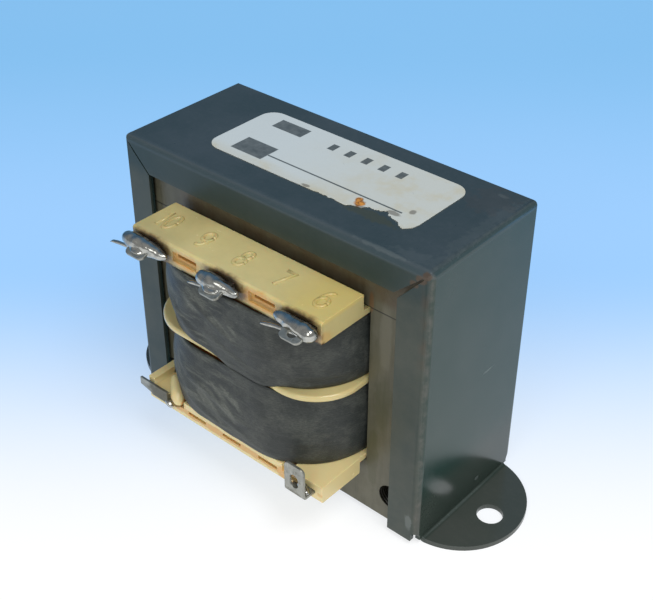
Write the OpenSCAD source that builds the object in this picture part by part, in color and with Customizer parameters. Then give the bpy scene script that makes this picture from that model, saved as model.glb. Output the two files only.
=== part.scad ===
// Open-frame chassis transformer: a laminated core in a folded steel channel, with two
// taped windings side by side on one moulded bobbin and solder lugs along its front.
// The mounting plane is z = 0, the feet point along X and the lugs face -Y.

/* [Core] */
// Width of the centre leg of the laminations
tongue = 22.2; // [18:0.1:30]
// Depth of the stack of laminations
stack = 26.7; // [18:0.1:40]
// Packs of laminations, laid in turn from below and from above
packs = 10; // [4:2:20]
// Varnish film between neighbouring laminations
film = 0.03; // [0.02:0.01:0.06]
// Diameter of the holes in the corners of the laminations
core_hole_d = 5; // [3:0.1:6]
// Height of the core above the mounting plane
core_lift = 1.2; // [0.5:0.1:4]

/* [Frame] */
// Thickness of the sheet steel
sheet = 1; // [0.8:0.1:1.5]
// Clearance between the frame and the core
core_fit = 0.5; // [0.2:0.05:0.6]
// Width of the lips that are folded over the core
lip = 6.3; // [4.5:0.1:8]
// Gap at the closed corners of the lips
mitre_gap = 0.3; // [0.1:0.05:0.6]
// Gap at the inner end of the one corner that has sprung open
open_mitre_gap = 1; // [0.4:0.1:2.5]
// Height of the lip ends above the mounting plane
lip_rise = 1; // [0.4:0.1:2]
// Reach of each foot beyond the side of the frame
foot_reach = 11.2; // [9:0.1:18]
// Inside radius of the bend at each foot
foot_bend_r = 0.4; // [0.3:0.1:1.5]
// Step from the front and back of the frame to the sides of each foot
foot_step = 2.05; // [1:0.05:2.5]
// Radius of the relief holes at the lower corners of the folds
relief_r = 1.4; // [1:0.1:2]
// Height of the centres of the relief holes
relief_z = 1.45; // [1.1:0.05:2.5]
// Distance from the end of each foot to the centre of its mounting hole
hole_inset = 5.5; // [4:0.1:7]
// Diameter of the mounting holes
mount_hole_d = 4.8; // [3.5:0.1:6]

/* [Bobbin] */
// Clearance between the bobbin's tube and the centre leg
leg_fit = 0.2; // [0.1:0.05:0.4]
// Clearance above and below the bobbin in the core windows
window_fit = 0.15; // [0.05:0.05:0.4]
// Clearance between the flanges and the outer legs
flange_fit = 0.35; // [0.1:0.05:0.8]
// Clearance between the terminal blocks and the face of the core
block_fit = 1.3; // [0.1:0.05:2]
// Wall of the bobbin's tube
tube_wall = 1.1; // [0.8:0.1:1.6]
// Thickness of the end flanges
end_flange_t = 1.15; // [0.8:0.05:1.8]
// Thickness of the flange between the windings
mid_flange_t = 1.3; // [0.8:0.1:2]
// Height of the flange between the windings above the middle of the bobbin
mid_raise = 1; // [-3:0.1:3]
// Reach of the flanges beyond the faces of the core
flange_reach = 11.55; // [9:0.05:16]
// Half length of the straight part of the rounded flanges
flange_flat = 12.35; // [4:0.05:14]
// Height of the upper terminal block
top_block_h = 4.35; // [3.5:0.05:6]
// Height of the lower terminal block
bottom_block_h = 3.7; // [3.2:0.05:6]
// Chamfer along the outer edges of the terminal blocks
block_chamfer = 0.35; // [0.1:0.05:0.6]
// Width and height of the rib on the end of the lower block
rib = 1.6; // [1:0.1:2.5]
// Width of the wire channels in the terminal blocks
channel_w = 2; // [1.2:0.1:3]
// Depth of the wire channels in the upper block
channel_h = 1; // [0.8:0.1:1.3]
// Wall between the wire channels and the core
channel_wall = 1; // [0.6:0.1:2]

/* [Windings] */
// Step from the edge of the flanges to the side of the coils
coil_inset = 0.75; // [0.7:0.05:3]
// How far the coils stand proud of the front of the flanges
coil_proud = 0.6; // [-2:0.1:1]
// Half length of the straight front of the coils
coil_flat = 6.9; // [4.5:0.1:12]
// Swell of the coils halfway between the flanges
coil_swell = 0.7; // [0.2:0.1:0.8]
// Thickness of the tape at its edges
tape_t = 0.6; // [0.3:0.1:1.2]
// Clearance between the tape and the flanges
tape_fit = 0.1; // [0.05:0.05:0.3]
// Clearance between the windings and what they touch
coil_fit = 0.04; // [0.02:0.01:0.1]
// Step from the flanges to the top and bottom of the copper
copper_step = 0.5; // [0.3:0.1:1]
// Diameter of the ends of the winding wire
wire_d = 0.6; // [0.4:0.1:0.8]
// Gap between the ends of the wire and the front of the blocks
wire_gap = 0.15; // [0.05:0.05:0.3]

/* [Terminals] */
// Distance from the end of a block to its first and its last terminal position
end_margin = 3.85; // [3.2:0.05:6]
// Width of the solder lugs
lug_w = 4.4; // [3:0.1:5.5]
// Thickness of the solder lugs
lug_t = 0.5; // [0.3:0.05:0.8]
// Depth to which the lugs are pressed into the blocks
tang = 6; // [3:0.1:8]
// Clearance between a lug and its slot
lug_fit = 0.05; // [0.03:0.01:0.1]
// Depth of the wider mouth of the slots in the upper block
mouth = 0.7; // [0.3:0.1:1]
// Reach of the lower lugs before they turn up
lower_run = 1.9; // [1.4:0.1:4]
// Height of the upright blade of the lower lugs
lower_blade = 6; // [4.5:0.1:9]
// Reach of lug 1 before it turns up close to the block
bent_run = 0.1; // [0.05:0.05:0.6]
// Height of the short blade of lug 1
bent_blade = 2.3; // [1.6:0.1:4]
// Reach of the tip of lug 1 beyond its left edge
bent_tip = 3; // [0.5:0.1:4]
// Reach of the upper lugs before they droop
upper_run = 1; // [0.8:0.1:3]
// Length of the drooping end of the upper lugs
upper_blade = 2.7; // [2.6:0.1:5]
// Droop of the upper lugs
upper_droop = 20; // [5:1:60]
// Radius of the bends in the lugs, at mid thickness
lug_bend_r = 0.7; // [0.5:0.1:1.5]
// Width of the eye in each lug
eye_w = 1.9; // [1:0.1:2]
// Length of the eye in the lower lugs
lower_eye = 2.9; // [2.2:0.1:3.8]
// Rim between the eye and the end of the lower lugs
lower_rim = 2.1; // [0.6:0.1:3]
// Rim between the eye and the end of the upper lugs
upper_rim = 0.6; // [0.4:0.1:0.7]
// Corner radius of the lug ends
lug_corner_r = 1; // [0.3:0.1:1.5]
// Radius of the solder on the upper lugs
upper_solder_r = 1.4; // [1:0.1:1.8]
// Length of the solder along the upper block
upper_solder_l = 8.8; // [6:0.1:10]
// Shift of the solder on the outer lugs towards the middle one
solder_shift = 1.1; // [0:0.1:2]
// Radius of the solder on the lower lugs
lower_solder_r = 1; // [0.8:0.1:1.4]
// Length of the solder on the lower lugs
lower_solder_l = 3.4; // [2.9:0.1:4.4]
// Diameter of the cut wire tails
tail_d = 0.7; // [0.4:0.05:0.9]
// Free length of the wire tails on lugs 6 and 8
short_tail = 1.8; // [1:0.1:6]
// Free length of the wire tail on lug 10
long_tail = 4.5; // [1:0.1:6]
// Fall of the wire tails towards their cut ends
tail_slope = 6; // [0:1:12]
// Turn of the wire tails away from the block
tail_splay = 4; // [0:1:15]

/* [Label] */
// Bare part of the top plate to the left of the label
label_left = 14.2; // [6:0.1:20]
// Bare part of the top plate to the right of the label
label_right = 10; // [6:0.1:20]
// Bare part of the top plate in front of the label
label_front = 6.9; // [3:0.1:8]
// Bare part of the top plate behind the label
label_back = 5.3; // [3:0.1:8]
// Thickness of the label
label_t = 0.12; // [0.1:0.01:0.3]
// Corner radius of the label
label_corner_r = 3; // [1:0.1:5]

/* [Hidden] */
$fn = 64;
eps = 0.01;

// Core sizes in the proportions of scrapless E and I sheets
core_w = 3 * tongue;
core_h = 2.5 * tongue;
yoke = tongue / 2;
window_h = 1.5 * tongue;
core_top = core_lift + core_h;
window_bottom = core_lift + yoke;
window_top = window_bottom + window_h;
core_front = -stack / 2;
pack_pitch = stack / packs;

// Frame outside sizes, with folds that clear the square corners of the core
fold_r = sheet + 0.6 * core_fit;
frame_w = core_w + 2 * (core_fit + sheet);
frame_d = stack + 2 * (core_fit + sheet);
frame_h = core_top + core_fit + sheet;
side = frame_w / 2;
foot_r = frame_d / 2 - foot_step;
foot_x = side + foot_reach - foot_r;
mount_x = side + foot_reach - hole_inset;
foot_bend_z = sheet + foot_bend_r;

// Bobbin levels and edges
bobbin_bottom = window_bottom + window_fit;
bobbin_top = window_top - window_fit;
coil_floor = bobbin_bottom + end_flange_t;
coil_roof = bobbin_top - end_flange_t;
mid_z = (bobbin_bottom + bobbin_top) / 2 + mid_raise;
mid_bottom = mid_z - mid_flange_t / 2;
mid_top = mid_z + mid_flange_t / 2;
flange_x = tongue - flange_fit;
flange_corner_r = flange_x - flange_flat;
flange_y = stack / 2 + flange_reach;
block_back = stack / 2 + block_fit;
tube_x = tongue / 2 + leg_fit + tube_wall;
tube_y = stack / 2 + leg_fit + tube_wall;

// Coil outline at the flanges
coil_x = flange_x - coil_inset;
coil_y = flange_y + coil_proud;
coil_corner_r = coil_x - coil_flat;
copper_x = coil_x - tape_t;
copper_y = coil_y - tape_t;
copper_corner_r = coil_corner_r - tape_t;

// Terminal positions, from left to right along the front
pitch = (flange_x - end_margin) / 2;
places = [-2 * pitch, -pitch, 0, pitch, 2 * pitch];
upper_places = [places[0], places[2], places[4]];
upper_z = coil_roof + top_block_h / 2;
lower_z = coil_floor - bottom_block_h / 2;
wire_bend_r = wire_d;
wire_front = -flange_y - wire_d / 2 - wire_gap;
wire_start = -block_back - channel_wall - wire_d;

// Label outline
label_l = frame_w - label_left - label_right;
label_w = frame_d - label_front - label_back;

// Solder and cut wires on the upper lugs
solder_sink = 0.1;
solder_y = -flange_y - upper_solder_r + solder_sink;
tail_out = wire_gap + wire_d + tail_d / 2 + solder_sink;
tail_drop = max(0, tail_out + tail_d / 2 - upper_run) * tan(upper_droop);
tail_z = upper_z - (lug_t + tail_d) / 2 - coil_fit - tail_drop;

// Rectangle with four rounded corners, from its half sizes
module rounded(x, y, r) {
    square([2 * (x - r), 2 * y], center = true);
    square([2 * x, 2 * (y - r)], center = true);
    for (sx = [-1, 1], sy = [-1, 1])
        translate([sx * (x - r), sy * (y - r)])
            circle(r);
}

// Upright sheet outline with a square foot and two rounded top corners
module arch(half, top, r) {
    translate([-half, 0])
        square([2 * half, top - r]);
    translate([r - half, 0])
        square([2 * (half - r), top]);
    for (s = [-1, 1])
        translate([s * (half - r), top - r])
            circle(r);
}

// Block with every fold edge rounded, open to the mounting plane
module folded_block(x, y, top, r) {
    intersection() {
        rotate([90, 0, 0])
            linear_extrude(4 * y, center = true)
                arch(x, top, r);
        rotate([90, 0, 90])
            linear_extrude(4 * x, center = true)
                arch(y, top, r);
        linear_extrude(2 * top)
            rounded(x, y, r);
    }
}

// Slit between two lips, along the diagonal of a frame corner
module mitre_slit(inner_gap) {
    reach = (lip - fold_r) * sqrt(2) - mitre_gap;
    translate([side - lip, frame_h - lip])
        rotate(45)
            polygon([
                [-lip, -inner_gap / 2], [0, -inner_gap / 2], [reach, -mitre_gap / 2],
                [reach, mitre_gap / 2], [0, inner_gap / 2], [-lip, inner_gap / 2]
            ]);
}

module mitre_slits() {
    for (s = [-1, 1], front = [-1, 1])
        translate([0, front * frame_d / 2, 0])
            rotate([90, 0, 0])
                linear_extrude(2 * sheet, center = true)
                    mirror([s < 0 ? 1 : 0, 0])
                        mitre_slit(s > 0 && front < 0 ? open_mitre_gap : mitre_gap);
}

// Section of one foot and its bend, drawn in X and Z
module foot_section() {
    translate([side + foot_bend_r, 0])
        square([foot_reach, sheet]);
    intersection() {
        translate([side + foot_bend_r, foot_bend_z])
            difference() {
                circle(foot_bend_z);
                circle(foot_bend_r);
            }
        translate([side - sheet, 0])
            square([foot_bend_z, foot_bend_z]);
    }
}

module foot() {
    difference() {
        intersection() {
            rotate([90, 0, 0])
                linear_extrude(2 * foot_r, center = true)
                    foot_section();
            union() {
                translate([foot_x, 0, -1])
                    cylinder(r = foot_r, h = foot_bend_z + 2);
                translate([0, -foot_r, -1])
                    cube([foot_x, 2 * foot_r, foot_bend_z + 2]);
            }
        }
        translate([mount_x, 0, -1])
            cylinder(d = mount_hole_d, h = sheet + 2);
    }
}

// Relief holes that let the foot and the lips fold without tearing
module relief_holes() {
    for (s = [-1, 1])
        translate([side - sheet - 0.3 * core_fit, s * frame_d / 2, relief_z])
            rotate([0, 90, 0])
                cylinder(r = relief_r, h = 2 * fold_r);
}

module channel_frame() {
    color("#26292c") {
        difference() {
            folded_block(side, frame_d / 2, frame_h, fold_r);
            folded_block(side - sheet, frame_d / 2 - sheet, frame_h - sheet, fold_r - sheet);
            translate([lip - side, -frame_d, -1])
                cube([frame_w - 2 * lip, 2 * frame_d, frame_h - lip + 1]);
            translate([-frame_w, -frame_d, -1])
                cube([2 * frame_w, 2 * frame_d, lip_rise + 1]);
            translate([-frame_w, -foot_r, -1])
                cube([2 * frame_w, 2 * foot_r, foot_bend_z + 1]);
            mitre_slits();
            for (turn = [0, 180])
                rotate([0, 0, turn])
                    relief_holes();
        }
        for (turn = [0, 180])
            rotate([0, 0, turn])
                foot();
    }
}

// Holes near the ends of a yoke, in the outline of a sheet
module yoke_holes() {
    for (s = [-1, 1])
        translate([s * (core_w - yoke) / 2, yoke / 2])
            circle(d = core_hole_d);
}

module e_outline() {
    difference() {
        translate([-core_w / 2, 0])
            square([core_w, yoke + window_h]);
        for (s = [-1, 1])
            translate([s * tongue * 3 / 4 - yoke / 2, yoke])
                square([yoke, window_h + 1]);
        yoke_holes();
    }
}

module i_outline() {
    difference() {
        translate([-core_w / 2, 0])
            square([core_w, yoke]);
        yoke_holes();
    }
}

// One outline in every pack: from below in the even packs and from above in the odd ones
module laid_in_turn(from_below) {
    for (k = [0 : packs - 1])
        translate([0, core_front + (k + 1) * pack_pitch - film / 2, core_lift])
            rotate([90, 0, 0])
                linear_extrude(pack_pitch - film) {
                    if ((k % 2 == 0) == from_below)
                        children();
                    else
                        translate([0, core_h])
                            mirror([0, 1])
                                children();
                }
}

module e_laminations() {
    color("#4d483a")
        laid_in_turn(true)
            e_outline();
}

module i_laminations() {
    color("#524c3d")
        laid_in_turn(false)
            i_outline();
}

// One flange between two levels, square at the front where a block joins it
module flange(low, high, square_front) {
    translate([0, 0, low])
        linear_extrude(high - low)
            difference() {
                union() {
                    rounded(flange_x, flange_y, flange_corner_r);
                    if (square_front)
                        translate([-flange_x, -flange_y])
                            square([2 * flange_x, flange_y]);
                }
                square([2 * (tube_x - tube_wall), 2 * (tube_y - tube_wall)], center = true);
            }
}

// Terminal block outline in Y and Z, with its outer edge chamfered
module block_outline(height) {
    polygon([
        [-block_back, 0], [-flange_y, 0], [-flange_y, height - block_chamfer],
        [block_chamfer - flange_y, height], [-block_back, height]
    ]);
}

module block(height) {
    rotate([90, 0, 90])
        linear_extrude(2 * flange_x, center = true)
            block_outline(height);
}

// Slot for a lug's tang
module lug_slot(x, z) {
    translate([x - lug_w / 2 - lug_fit, -flange_y - 1, z - lug_t / 2 - lug_fit])
        cube([lug_w + 2 * lug_fit, tang + 1 + lug_fit, lug_t + 2 * lug_fit]);
}

// Wider mouth at the front of a slot
module slot_mouth(x, z) {
    translate([x - lug_w / 2 - mouth, -flange_y - 1, z - lug_t / 2 - mouth])
        cube([lug_w + 2 * mouth, 1 + mouth, lug_t + 2 * mouth]);
}

// Channel that leads a wire from the coil to the front of a block
module wire_channel(x, low, high) {
    translate([x - channel_w / 2, -flange_y - 1, low])
        cube([channel_w, flange_y + 1 - block_back - channel_wall, high - low]);
}

module bobbin() {
    color("#d8c98c")
        difference() {
            union() {
                translate([0, 0, bobbin_bottom])
                    linear_extrude(bobbin_top - bobbin_bottom)
                        difference() {
                            square([2 * tube_x, 2 * tube_y], center = true);
                            square([2 * (tube_x - tube_wall), 2 * (tube_y - tube_wall)], center = true);
                        }
                flange(bobbin_bottom, coil_floor, true);
                flange(mid_bottom, mid_top, false);
                flange(coil_roof, bobbin_top, true);
                translate([0, 0, coil_roof])
                    block(top_block_h);
                translate([0, 0, coil_floor])
                    mirror([0, 0, 1])
                        block(bottom_block_h);
                translate([-flange_x, -flange_y, coil_floor - eps])
                    cube([rib, flange_y - block_back - 2 * rib, rib + eps]);
            }
            for (x = places) {
                lug_slot(x, upper_z);
                slot_mouth(x, upper_z);
                lug_slot(x, lower_z);
            }
            for (x = upper_places)
                wire_channel(x, coil_roof - eps, coil_roof + channel_h);
            for (x = [places[0] + pitch / 2, places[4] - pitch / 2])
                wire_channel(x, lower_z + lug_t / 2, coil_floor + eps);
        }
}

// Copper of one coil, wound close on the bobbin's tube
module copper(low, high) {
    translate([0, 0, low])
        linear_extrude(high - low)
            difference() {
                rounded(copper_x - coil_fit, copper_y - coil_fit, copper_corner_r - coil_fit);
                square([2 * (tube_x + coil_fit), 2 * (tube_y + coil_fit)], center = true);
            }
}

// Quarter of a ring of winding wire, from +X to +Y about the origin
module wire_bend() {
    rotate_extrude(angle = 90)
        translate([wire_bend_r, 0])
            circle(d = wire_d);
}

// The same bend in Y and Z about a point, turned from +Y towards +Z
module upright_bend(y, z, turn) {
    translate([0, y, z])
        rotate([90, 0, 90])
            rotate([0, 0, turn])
                wire_bend();
}

// Straight wire towards the front
module forward_wire(from, to, z) {
    translate([0, from, z])
        rotate([90, 0, 0])
            cylinder(d = wire_d, h = from - to);
}

// End of the upper winding: up out of the copper, forward and up to the lug
module upper_lead(x) {
    copper_top = coil_roof - copper_step;
    level = coil_roof + channel_h / 2;
    translate([x, 0, 0]) {
        translate([0, wire_start, copper_top - wire_d])
            cylinder(d = wire_d, h = level - wire_bend_r - copper_top + wire_d);
        upright_bend(wire_start - wire_bend_r, level - wire_bend_r, 0);
        forward_wire(wire_start - wire_bend_r, wire_front + wire_bend_r, level);
        upright_bend(wire_front + wire_bend_r, level + wire_bend_r, 180);
        translate([0, wire_front, level + wire_bend_r])
            cylinder(d = wire_d, h = upper_z - lug_t / 2 - coil_fit - level - wire_bend_r);
    }
}

// End of the lower winding: down out of the copper, forward and sideways to the lug
module lower_lead(x) {
    copper_bottom = coil_floor + copper_step;
    level = lower_z + (lug_t + wire_d) / 2 + coil_fit;
    stop = x < 0 ? lug_w / 2 + coil_fit : 0;
    mirror([x < 0 ? 1 : 0, 0, 0])
        translate([abs(x) - pitch / 2, 0, 0]) {
            translate([0, wire_start, level + wire_bend_r])
                cylinder(d = wire_d, h = copper_bottom + wire_d - level - wire_bend_r);
            upright_bend(wire_start - wire_bend_r, level + wire_bend_r, 270);
            forward_wire(wire_start - wire_bend_r, wire_front + wire_bend_r, level);
            translate([wire_bend_r, wire_front + wire_bend_r, level])
                rotate([0, 0, 180])
                    wire_bend();
            translate([wire_bend_r, wire_front, level])
                rotate([0, 90, 0])
                    cylinder(d = wire_d, h = pitch / 2 - wire_bend_r - stop);
        }
}

module primary_winding() {
    color("#9c5a2e") {
        copper(coil_floor + copper_step, mid_bottom - copper_step);
        for (x = [places[0], places[4]])
            lower_lead(x);
    }
}

module secondary_winding() {
    color("#a4602f") {
        copper(mid_top + copper_step, coil_roof - copper_step);
        for (x = upper_places)
            upper_lead(x);
    }
}

// Half of a swollen coil's section: straight inside, an arc outside
module swollen_section(r, h) {
    arc_r = (h * h / 4 + coil_swell * coil_swell) / (2 * coil_swell);
    intersection() {
        square([r + coil_swell + 1, h]);
        translate([r + coil_swell - arc_r, h / 2])
            circle(arc_r, $fn = 256);
    }
}

// Coil form with rounded corners, swollen halfway up
module swollen_coil(x, y, r, h) {
    flat_x = x - r;
    flat_y = y - r;
    translate([-flat_x, -flat_y, 0])
        cube([2 * flat_x, 2 * flat_y, h]);
    for (quarter = [0 : 3]) {
        sx = quarter == 0 || quarter == 3 ? 1 : -1;
        sy = quarter < 2 ? 1 : -1;
        translate([sx * flat_x, sy * flat_y, 0])
            rotate([0, 0, 90 * quarter])
                rotate_extrude(angle = 90, $fn = 128)
                    swollen_section(r, h);
    }
    for (s = [0, 180])
        rotate([0, 0, s]) {
            translate([flat_x, flat_y, 0])
                rotate([90, 0, 0])
                    linear_extrude(2 * flat_y)
                        swollen_section(r, h);
            translate([-flat_x, flat_y, 0])
                rotate([90, 0, 90])
                    linear_extrude(2 * flat_x)
                        swollen_section(r, h);
        }
}

module tape(low, high) {
    translate([0, 0, low + tape_fit])
        difference() {
            swollen_coil(coil_x, coil_y, coil_corner_r, high - low - 2 * tape_fit);
            translate([0, 0, -1])
                linear_extrude(high - low + 2)
                    rounded(copper_x, copper_y, copper_corner_r);
        }
}

module primary_tape() {
    color("#35383a")
        tape(coil_floor, mid_bottom);
}

module secondary_tape() {
    color("#323537")
        tape(mid_top, coil_roof);
}

// Lug section along Y: tang, run and bend, drawn with the run pointing out
module lug_section(run, bend) {
    translate([-tang, -lug_t / 2])
        square([tang + run, lug_t]);
    translate([run, lug_bend_r])
        intersection() {
            difference() {
                circle(lug_bend_r + lug_t / 2);
                circle(lug_bend_r - lug_t / 2);
            }
            polygon([[0, 0], [0, -4 * lug_bend_r], [4 * lug_bend_r * tan(bend / 2), -4 * lug_bend_r],
                4 * lug_bend_r * [sin(bend), -cos(bend)]]);
        }
}

// Flat end of a lug, with round corners and its eye behind a rim
module lug_blade(length, eye, rim) {
    far = length - rim - eye_w / 2;
    near = far - (eye - eye_w);
    difference() {
        union() {
            translate([0, -lug_w / 2])
                square([length - lug_corner_r, lug_w]);
            translate([0, lug_corner_r - lug_w / 2])
                square([length, lug_w - 2 * lug_corner_r]);
            for (s = [-1, 1])
                translate([length - lug_corner_r, s * (lug_w / 2 - lug_corner_r)])
                    circle(lug_corner_r);
        }
        for (u = [near, far])
            translate([u, 0])
                circle(d = eye_w);
        if (eye > eye_w)
            translate([near, -eye_w / 2])
                square([far - near, eye_w]);
    }
}

// Lug pressed into a block: bent upwards, or downwards where turn is -1
module lug(x, z, run, bend, turn) {
    translate([x, -flange_y, z])
        mirror([0, 0, turn < 0 ? 1 : 0])
            rotate([90, 0, -90]) {
                linear_extrude(lug_w, center = true)
                    lug_section(run, bend);
                translate([run, lug_bend_r, 0])
                    rotate([0, 0, bend])
                        translate([0, -lug_bend_r, 0])
                            rotate([90, 0, 0])
                                children();
            }
}

// Short blade of lug 1, with a tip that points along the block
module bent_blade_outline() {
    edge = lug_w / 2;
    polygon([
        [0, -edge], [bent_blade, -edge], [bent_blade, edge + bent_tip],
        [0.3 * bent_blade, edge + bent_tip], [0, edge]
    ]);
}

// Lower lug: upright at the right end, turned up close to the block at the left end
module lower_lug(x) {
    color("#b9bab6")
        lug(x, lower_z, x < 0 ? bent_run : lower_run, 90, 1)
            linear_extrude(lug_t, center = true)
                if (x < 0)
                    bent_blade_outline();
                else
                    lug_blade(lower_blade, lower_eye, lower_rim);
}

module upper_lug(x) {
    color("#b9bab6")
        lug(x, upper_z, upper_run, upper_droop, -1)
            linear_extrude(lug_t, center = true)
                lug_blade(upper_blade, eye_w, upper_rim);
}

module terminal_1() {
    lower_lug(places[0]);
}

module terminal_5() {
    lower_lug(places[4]);
}

module terminal_6() {
    upper_lug(places[4]);
}

module terminal_8() {
    upper_lug(places[2]);
}

module terminal_10() {
    upper_lug(places[0]);
}

// Everything in front of the face of the blocks
module before_block(x, z) {
    reach = 2 * pitch;
    translate([x - reach, -flange_y - reach, z - reach])
        cube([2 * reach, reach, 2 * reach]);
}

// Bar with round ends along X, centred on the origin
module round_ended_bar(length, r) {
    rotate([0, 90, 0])
        rotate_extrude()
            intersection() {
                union() {
                    square([2 * r, length - 2 * r], center = true);
                    for (s = [-1, 1])
                        translate([0, s * (length / 2 - r)])
                            circle(r);
                }
                translate([0, -length])
                    square([2 * r, 2 * length]);
            }
}

// Middle of the solder on an upper lug
function solder_x(x) = x - sign(x) * solder_shift;

module upper_solder(x) {
    color("#c4c6c6")
        difference() {
            intersection() {
                translate([solder_x(x), solder_y, upper_z])
                    round_ended_bar(upper_solder_l, upper_solder_r);
                before_block(x, upper_z);
            }
            upper_lug(x);
            tail_wire(x, long_tail);
            upper_lead(x);
        }
}

module lower_solder(x) {
    top = lower_z + lug_t / 2;
    shift = x < 0 ? lug_w / 2 : 0;
    color("#c4c6c6")
        difference() {
            intersection() {
                translate([x + shift, wire_front, top])
                    round_ended_bar(lower_solder_l, lower_solder_r);
                before_block(x, top + 2 * pitch);
            }
            lower_lug(x);
            lower_lead(x);
        }
}

module solder_1() {
    lower_solder(places[0]);
}

module solder_5() {
    lower_solder(places[4]);
}

module solder_6() {
    upper_solder(places[4]);
}

module solder_8() {
    upper_solder(places[2]);
}

module solder_10() {
    upper_solder(places[0]);
}

// Cut wire under a lug, held in its solder and running out of it to the left
module tail_wire(x, free) {
    translate([x + lug_w / 2, -flange_y - tail_out, tail_z])
        rotate([0, -90 - tail_slope, tail_splay])
            cylinder(d = tail_d, h = x - solder_x(x) + (lug_w + upper_solder_l) / 2 + free);
}

module wire_tail_6() {
    color("#cfd1d0")
        tail_wire(places[4], short_tail);
}

module wire_tail_8() {
    color("#cfd1d0")
        tail_wire(places[2], short_tail);
}

module wire_tail_10() {
    color("#cfd1d0")
        tail_wire(places[0], long_tail);
}

// Piece torn out of the front edge of the label, near its right end
module tear() {
    right = label_l / 2;
    front = -label_w / 2;
    polygon([
        [right - 13, front - 1], [right - 12, front + 0.6], [right - 10.2, front + 1.1],
        [right - 9.4, front + 2.2], [right - 7.4, front + 2.4], [right - 6.2, front + 3],
        [right - 4.6, front + 1.9], [right - 3, front + 1.5], [right - 2.2, front + 0.6],
        [right - 1.2, front + 0.3], [right - 0.8, front - 1]
    ]);
}

module label() {
    color("#dfe3e2")
        translate([(label_left - label_right) / 2, (label_front - label_back) / 2, frame_h])
            linear_extrude(label_t)
                difference() {
                    rounded(label_l / 2, label_w / 2, label_corner_r);
                    tear();
                }
}

channel_frame();
e_laminations();
i_laminations();
bobbin();
primary_winding();
secondary_winding();
primary_tape();
secondary_tape();
terminal_1();
terminal_5();
terminal_6();
terminal_8();
terminal_10();
solder_1();
solder_5();
solder_6();
solder_8();
solder_10();
wire_tail_6();
wire_tail_8();
wire_tail_10();
label();
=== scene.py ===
"""Looks of an open-frame chassis transformer, built round its packed CAD frame."""

import math
import random
from functools import reduce

import bmesh
import bpy
import numpy as np
from mathutils import Matrix, Vector, noise


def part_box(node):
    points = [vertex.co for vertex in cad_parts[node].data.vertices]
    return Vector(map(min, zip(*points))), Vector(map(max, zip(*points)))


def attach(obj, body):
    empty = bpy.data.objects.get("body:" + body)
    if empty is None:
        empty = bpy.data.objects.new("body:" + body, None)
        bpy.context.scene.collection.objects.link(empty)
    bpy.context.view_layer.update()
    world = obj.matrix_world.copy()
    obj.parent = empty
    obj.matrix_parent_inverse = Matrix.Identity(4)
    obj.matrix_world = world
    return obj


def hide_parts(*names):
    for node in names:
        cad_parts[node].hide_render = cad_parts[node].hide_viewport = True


bl_info = {
    "name": "Chassis Transformer",
    "version": (1, 0, 0),
    "blender": (4, 5, 0),
    "location": "3D View > Sidebar > Transformer",
    "description": "Enamelled frame, varnished core, nylon bobbin, taped coils and soldered lugs",
    "category": "Object",
}

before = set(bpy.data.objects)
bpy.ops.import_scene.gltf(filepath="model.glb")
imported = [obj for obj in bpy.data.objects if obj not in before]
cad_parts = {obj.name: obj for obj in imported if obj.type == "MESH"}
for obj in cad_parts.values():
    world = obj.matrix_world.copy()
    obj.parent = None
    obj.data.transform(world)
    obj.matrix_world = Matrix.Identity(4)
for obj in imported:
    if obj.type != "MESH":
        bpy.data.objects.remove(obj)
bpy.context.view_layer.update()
MM = 0.001


# Settings

def linear(code):
    """Linear colour of a six-figure screen colour."""
    parts = [int(code[i:i + 2], 16) / 255 for i in (0, 2, 4)]
    return tuple(v / 12.92 if v <= 0.04045 else ((v + 0.055) / 1.055) ** 2.4 for v in parts) + (1.0,)


def colour(name, description, code):
    return bpy.props.FloatVectorProperty(
        name=name, description=description, default=linear(code), size=4, min=0, max=1, subtype="COLOR")


def length(name, description, millimetres):
    return bpy.props.FloatProperty(
        name=name, description=description, default=millimetres * MM, unit="LENGTH", precision=5)


def angle(name, description, degrees):
    return bpy.props.FloatProperty(
        name=name, description=description, default=math.radians(degrees), subtype="ANGLE")


def amount(name, description, value):
    return bpy.props.FloatProperty(name=name, description=description, default=value, min=0)


def count(name, description, value):
    return bpy.props.IntProperty(name=name, description=description, default=value, min=1)


class EnamelSettings(bpy.types.PropertyGroup):
    """Black enamel of the folded frame."""

    paint: colour("Paint", "Colour of the enamel", "162e2e")
    # side: darker, greener tint of the side plates, a painted reflection of the floor
    side: colour("Side", "Darker, greener side plates as a painted reflection", "11342e")
    olive: colour("Olive", "Varnish that stained the lips", "626153")
    lip: colour("Upper lip", "Thinner stain of the upper lip", "27393a")
    dust: colour("Dust", "Grey film on the enamel", "5e6260")
    # film: dust film, with a painted sky reflection on the top plate
    film: colour("Film", "Dust film and painted sky reflection on the top plate", "62676f")
    glue: colour("Glue", "Old glue beside the torn label", "45462f")
    # bend: painted sky reflection along the upper bends
    bend: colour("Bend", "Painted sky reflection on the upper bends", "4d5a63")
    # worn: rubbing on the front bends of the side plates, and a painted highlight along them
    worn: colour("Worn bend", "Rubbed front bends of the side plates, with a painted highlight", "7f7873")
    # dirt: paler, warmer tint towards the bottom of the side plates
    dirt: colour("Dirt", "Paler, warmer tint low on the side plates", "5a4f48")
    bare: colour("Rubbed", "Pale rubs, scratches and a painted fold highlight", "87908f")
    rust: colour("Rust", "Rust at the open corner of the lips", "54402e")
    edge: length("Edge", "Rounding of the sheet's cut edges", 0.1)
    fold: length("Fold", "Outside radius of the bends", 1.3)


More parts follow.
